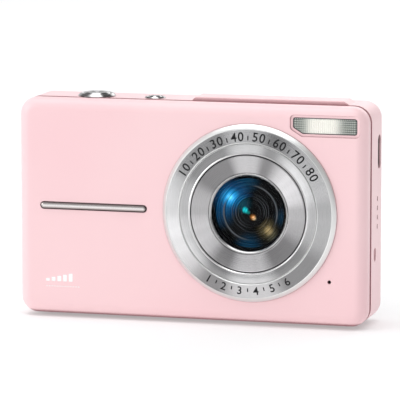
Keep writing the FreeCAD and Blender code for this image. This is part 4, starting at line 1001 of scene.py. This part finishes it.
# ---------------------------------------------------------------- back: keys, screen, lamp
def symbol(name, outlines, face_y, body):
    """Printed marks on a key's face."""
    marks = [plate(outline, face_y - 0.03, face_y + INK) for outline in outlines]
    mesh_piece(name, combine(marks), "grey_ink", "pink_keys", body=body)


def bar(cx, cz, width, height):
    w, h = width / 2, height / 2
    return rectangle(cx - w, cx + w, cz - h, cz + h)


def triangle(cx, cz, size, angle):
    return [polar(cx, cz, size, angle + d) for d in (0, 125, 235)]


def make_round_key(body, outlines):
    """A round key with a rounded rim and a shallow dish that carries its symbol."""
    node = body + "_key"
    centre, back = middle(node), span(node)[0].y
    flange_r = radius_of(node)
    cap_r = flange_r - 0.6
    face, dish = KEY_FACE_Y, KEY_FACE_Y - 0.12
    profile = [
        (0, dish), (cap_r * 0.62, dish), (cap_r * 0.78, face - 0.03), (cap_r * 0.88, face),
        (cap_r, face - 0.28), (cap_r, KEY_FLANGE_Y), (flange_r, KEY_FLANGE_Y), (flange_r, back),
        (0, back),
    ]
    cap = turned(soften(profile, 0.12, closed=False), (centre.x, centre.z), "Y", 96)
    mesh_piece(body + "_cap", cap, "keys", "pink_keys", [node], body)
    symbol(body + "_symbol", outlines(centre.x, centre.z), dish, body)


def ok_marks(cx, cz):
    """A circle drawn as four arcs."""
    return [arc(cx, cz, 1.35, a + 5, a + 85, 16) + arc(cx, cz, 1.1, a + 85, a + 5, 16)
            for a in range(0, 360, 90)]


def mode_marks(cx, cz):
    """A square frame round a dot."""
    return [bar(cx, cz + 0.75, 1.7, 0.26), bar(cx, cz - 0.75, 1.7, 0.26), bar(cx - 0.98, cz, 0.26, 1.76),
            bar(cx + 0.98, cz, 0.26, 1.76), bar(cx, cz, 0.6, 0.6)]


def play_marks(cx, cz):
    return [triangle(cx - 0.1, cz, 1.1, 180)]


def menu_marks(cx, cz):
    return [bar(cx, cz + d, 1.9, 0.28) for d in (-0.6, 0, 0.6)]


def delete_marks(cx, cz):
    """A bin with its lid."""
    can = [(cx - 0.62, cz + 0.35), (cx - 0.48, cz - 0.95), (cx + 0.48, cz - 0.95), (cx + 0.62, cz + 0.35)]
    return [can, bar(cx, cz + 0.62, 1.7, 0.24), bar(cx, cz + 0.92, 0.6, 0.2)]


def make_arc_key(body, mid):
    """One of the four arc keys round the centre key; mid is its angle from +X towards +Z."""
    node = body + "_key"
    back = span(node)[0].y
    hub = middle("ok_key")
    r0, r1, half_gap = 4.9, 9.1, 0.75

    def sector(grow):
        inner, outer, gap = r0 - grow, r1 + grow, half_gap - grow
        out = 45 - math.degrees(math.asin(gap / outer))
        into = 45 - math.degrees(math.asin(gap / inner))
        rim = arc(hub.x, hub.z, outer, mid - out, mid + out, 12)
        return rim + arc(hub.x, hub.z, inner, mid + into, mid - into, 6)

    cap = plate(soften(sector(0.0), 0.45, 4), back, KEY_FACE_Y, 0.3, 5)
    flange = plate(soften(sector(0.4), 0.3, 3), back, KEY_FLANGE_Y)
    mesh_piece(body + "_cap", combine([cap, flange]), "keys", "pink_keys", [node], body)
    cx, cz = polar(hub.x, hub.z, (r0 + r1) / 2, mid)
    symbol(body + "_symbol", [triangle(cx, cz, 0.85, mid)], KEY_FACE_Y, body)


def make_rocker():
    """The zoom rocker: grip ribs at both ends, a hub with its pin, and a feeler under each end."""
    top = span("zoom_rocker")[1].y
    cx, cz = middle("ok_key").x, middle("zoom_rocker").z
    half, face, skirt = 7.5, top - 0.12, 9.0
    cap = plate(stadium(cx, cz, half, 2.3, 16), skirt, face, 0.28, 5)
    ribs = []
    for side in (-1, 1):
        for k, height in enumerate((2.3, 2.6, 2.6)):
            rib = bar(cx + side * (half - 1.1 - 0.75 * k), cz, 0.3, height)
            ribs.append(plate(soften(rib, 0.12, 3), face - 0.1, top, 0.1))
    hub = block(cx - 0.8, cx + 0.8, 8.0, skirt + 0.1, cz - 2.2, cz + 2.2, 0.2)
    pin = turned([(0, cz - 3.6), (0.5, cz - 3.6), (0.5, cz + 3.6), (0, cz + 3.6)], (cx, 8.5), "Z", 24)
    feelers = [plate(arc(cx + side * 5.2, cz, 1.0, 0, 345, 23), skirt + 0.1, 8.3) for side in (-1, 1)]
    mesh_piece("zoom_bar", combine([cap, hub, pin] + ribs + feelers), "keys", "pink_keys",
               ["zoom_rocker"], "zoom")
    plus, minus = cx + half - 4.3, cx - half + 4.3
    symbol("zoom_symbols", [bar(plus, cz, 1.4, 0.3), bar(plus, cz + 0.42, 0.3, 0.54),
                            bar(plus, cz - 0.42, 0.3, 0.54), bar(minus, cz, 1.4, 0.3)], face, "zoom")


def make_keys():
    make_round_key("ok", ok_marks)
    make_round_key("mode", mode_marks)
    make_round_key("play", play_marks)
    make_round_key("menu", menu_marks)
    make_round_key("delete", delete_marks)
    # left and right as seen from behind
    for body, mid in (("up", 90), ("left", 0), ("down", -90), ("right", -180)):
        make_arc_key(body, mid)
    make_rocker()


def make_screen():
    """The glass pane, the printed border behind it and the polariser on the panel."""
    low, high = span("lcd_window")
    edge, print_y = rectangle(low.x, high.x, low.z, high.z), low.y + 0.06
    pane = plate(soften(edge, 1.9, 8), print_y + 0.02, high.y - 0.02, 0.16, 4)
    mesh_piece("screen_pane", pane, "pane", "screen_glass", ["lcd_window"])
    module, panel_y = middle("lcd_module"), span("lcd_module")[1].y

    def picture(grow):
        w, h = 25.4 + grow, 19.0 + grow
        return rectangle(module.x - w, module.x + w, module.z - h, module.z + h)

    rim, hole = soften(inset(edge, 0.05), 1.85, 8), soften(picture(0.0), 0.5, 8)
    border = hollow_plate(rim, hole, low.y + 0.01, print_y)
    mesh_piece("screen_border", border, "black_ink", "screen_glass")
    sheet = plate(soften(picture(0.2), 0.4, 4), panel_y + 0.01, panel_y + 0.08)
    mesh_piece("screen_polariser", sheet, "panel", "screen_panel")


def make_lamp():
    """The status lamp's light pipe, with a domed end."""
    low, high = span("status_lamp")
    centre, r = middle("status_lamp"), radius_of("status_lamp")
    profile = [
        (0, high.y), (r * 0.5, high.y - 0.02), (r * 0.85, high.y - 0.1), (r, high.y - 0.22), (r, low.y),
        (0, low.y),
    ]
    pipe = turned(soften(profile, 0.05, closed=False), (centre.x, centre.z), "Y", 48)
    mesh_piece("lamp_pipe", pipe, "lamp", "lamp", ["status_lamp"])


# ---------------------------------------------------------------- sides and underside
def make_socket_contacts():
    """Gold pads on both faces of the charging socket's tongue."""
    centre, mouth = middle("usb_port"), span("usb_port")[1].x
    pads, count, pitch = [], 12, 0.5
    for side in (-1, 1):
        y0, y1 = sorted((centre.y + side * 0.33, centre.y + side * 0.385))
        for i in range(count):
            z = centre.z + (i - (count - 1) / 2) * pitch
            pads.append(block(mouth - 4.6, mouth - 1.1, y0, y1, z - 0.12, z + 0.12, 0.05))
    mesh_piece("socket_contacts", combine(pads), "gold", "contact_gold")


def make_tripod_thread():
    """The threaded insert: a round body whose bore carries a real helical thread."""
    low, high = span("tripod_insert")
    centre, body_r = middle("tripod_insert"), (high.y - low.y) / 2
    minor, major, pitch, depth = 2.55, 3.1, 1.27, 5.5
    around, rows = 96, 66

    def thread_r(z, a):
        phase = ((z - low.z) / pitch + a / (2 * math.pi)) % 1.0
        rise = min(1.0, max(0.0, 1.6 * (1 - abs(2 * phase - 1)) - 0.25))
        lead_in = min(1.0, (z - low.z) / 0.5)
        return max(minor + (major - minor) * rise, major - (major - minor) * lead_in)

    angles = [2 * math.pi * k / around for k in range(around)]
    heights = [low.z + depth * i / rows for i in range(rows + 1)]
    outside = [(body_r, high.z), (body_r, low.z + 0.25), (body_r - 0.25, low.z)]
    points = [(r, a, z) for r, z in outside for a in angles]
    points += [(thread_r(z, a), a, z) for z in heights for a in angles]
    verts = [(centre.x + r * math.cos(a), centre.y + r * math.sin(a), z) for r, a, z in points]
    layers = len(outside) + len(heights)
    faces = walls(around, layers) + caps(around, layers)
    mesh_piece("threaded_insert", (verts, faces), "insert", "insert_metal", ["tripod_insert"])


def make_battery():
    """The battery: a wrapped can, an end cap with grip ribs, and an arrow."""
    low, high = span("battery")
    can = plate(soften(rectangle(low.x, high.x, low.z, high.z), 1.0, 5), high.y, low.y)
    mesh_piece("battery_pack", can, "wrap", "cell_wrap", ["battery"], sharp=30)
    rim, foot = 0.7, low.z - 0.03
    cap = block(low.x + rim, high.x - rim, low.y + rim, high.y - rim, foot, low.z + 0.6, 0.2)
    starts = [low.x + 4 + 1.3 * k for k in range(5)]
    ribs = [block(x, x + 0.5, low.y + 1.6, high.y - 1.6, foot - 0.12, low.z + 0.3, 0.1) for x in starts]
    mesh_piece("battery_end_cap", combine([cap] + ribs), "black", "cell_wrap")
    x, y = high.x - 9, (low.y + high.y) / 2
    corners = [(x, y - 1.6), (x + 3, y), (x, y + 1.6)]
    arrow = prism(*[[(*corner, z) for corner in corners] for z in (foot - 0.05, low.z + 0.3)])
    mesh_piece("battery_arrow", arrow, "white_ink", "cell_wrap")


make_marked_ring()
make_inner_rings()
make_front_glass()
make_baffle()
make_elements()
make_dial()
make_level_mark()
make_flash_window()
make_flash_mirror()
make_flash_lamp()
make_grip_bar()
make_shutter()
make_power()
make_keys()
make_screen()
make_lamp()
make_socket_contacts()
make_tripod_thread()
make_battery()


# ---------------------------------------------------------------- stage, light and camera
def make_floor():
    """A broad pale floor that curves up far behind the object."""
    width, near, far, rise, bend, steps = 9000.0, -6000.0, 4500.0, 5000.0, 1500.0, 16
    line = [(near, 0.0), (far - bend, 0.0)]
    for k in range(1, steps + 1):
        a = math.pi / 2 * k / steps
        line.append((far - bend + bend * math.sin(a), bend * (1 - math.cos(a))))
    line.append((far, rise))
    verts = [(side * width, y, z - 0.02) for y, z in line for side in (-1, 1)]
    faces = [[2 * i, 2 * i + 1, 2 * i + 3, 2 * i + 2] for i in range(len(line) - 1)]
    mesh = new_mesh("floor", verts, faces)
    mesh.shade_smooth()
    light_table = {"Specular IOR Level": 0.2, "Emission Strength": 0.36, "Emission Color": (1, 1, 1, 1)}
    paint = Paint("floor_white", (0.62, 0.62, 0.622), light_table)
    paint.roughen(paint.noise(60), 0.75, 0.85)
    mesh.materials.append(paint.material)
    floor = new_object("floor", mesh)


def aim(thing, place, way):
    """Puts a lamp or the camera at place, in metres, so that it looks along way."""
    thing.location = place
    thing.rotation_mode = "QUATERNION"
    thing.rotation_quaternion = way.to_track_quat("-Z", "Y")


def soft_light(name, place, size, power, color=(1, 1, 1)):
    """A softbox turned towards the object; place and size are in metres."""
    data = bpy.data.lights.new(name, "AREA")
    data.shape, data.size, data.size_y = "RECTANGLE", size[0], size[1]
    data.energy, data.color = power, color
    aim(new_object(name, data), place, Vector((0, 0, TOP_Z * MM / 2)) - Vector(place))


def make_light():
    """A pale room and four softboxes."""
    world = bpy.data.worlds.new("studio")
    world.use_nodes = True
    nodes, links = world.node_tree.nodes, world.node_tree.links
    sky = nodes["Background"]
    sky.inputs["Color"].default_value = (0.985, 0.985, 1.0, 1)
    way = nodes.new("ShaderNodeSeparateXYZ")
    links.new(nodes.new("ShaderNodeTexCoord").outputs["Generated"], way.inputs[0])
    fade = nodes.new("ShaderNodeMapRange")       # the room is darker to the object's right
    for index, value in ((1, -1.0), (2, 1.0), (3, 0.78), (4, 0.32)):
        fade.inputs[index].default_value = value
    links.new(way.outputs[0], fade.inputs[0])
    links.new(fade.outputs[0], sky.inputs["Strength"])
    bpy.context.scene.world = world
    soft_light("left_softbox", (-1.3, -1.0, 0.45), (0.9, 1.1), 8.9)
    soft_light("right_softbox", (1.35, -0.75, 0.35), (0.6, 1.0), 0.9)
    soft_light("top_softbox", (-0.1, -0.15, 1.3), (1.3, 0.9), 8.6)
    soft_light("back_softbox", (0.3, 1.5, 0.9), (1.6, 0.8), 6)


def make_camera():
    """A long lens, a little to the right of the object and above it, aimed just right of its middle."""
    azimuth, elevation, distance = math.radians(15.41), math.radians(8.29), 953.5
    target = Vector((2.734, FRONT_Y, BASE_Z + 32.941))
    back = Vector((math.sin(azimuth) * math.cos(elevation), -math.cos(azimuth) * math.cos(elevation),
                   math.sin(elevation)))
    data = bpy.data.cameras.new("photo_camera")
    data.lens, data.sensor_width = 320.4, 36.0
    data.clip_start, data.clip_end = 0.01, 60.0
    eye = new_object("photo_camera", data)
    aim(eye, (target + back * distance) * MM, -back)
    bpy.context.scene.camera = eye


make_floor()
make_light()
make_camera()
bpy.context.scene.view_settings.view_transform = "Standard"
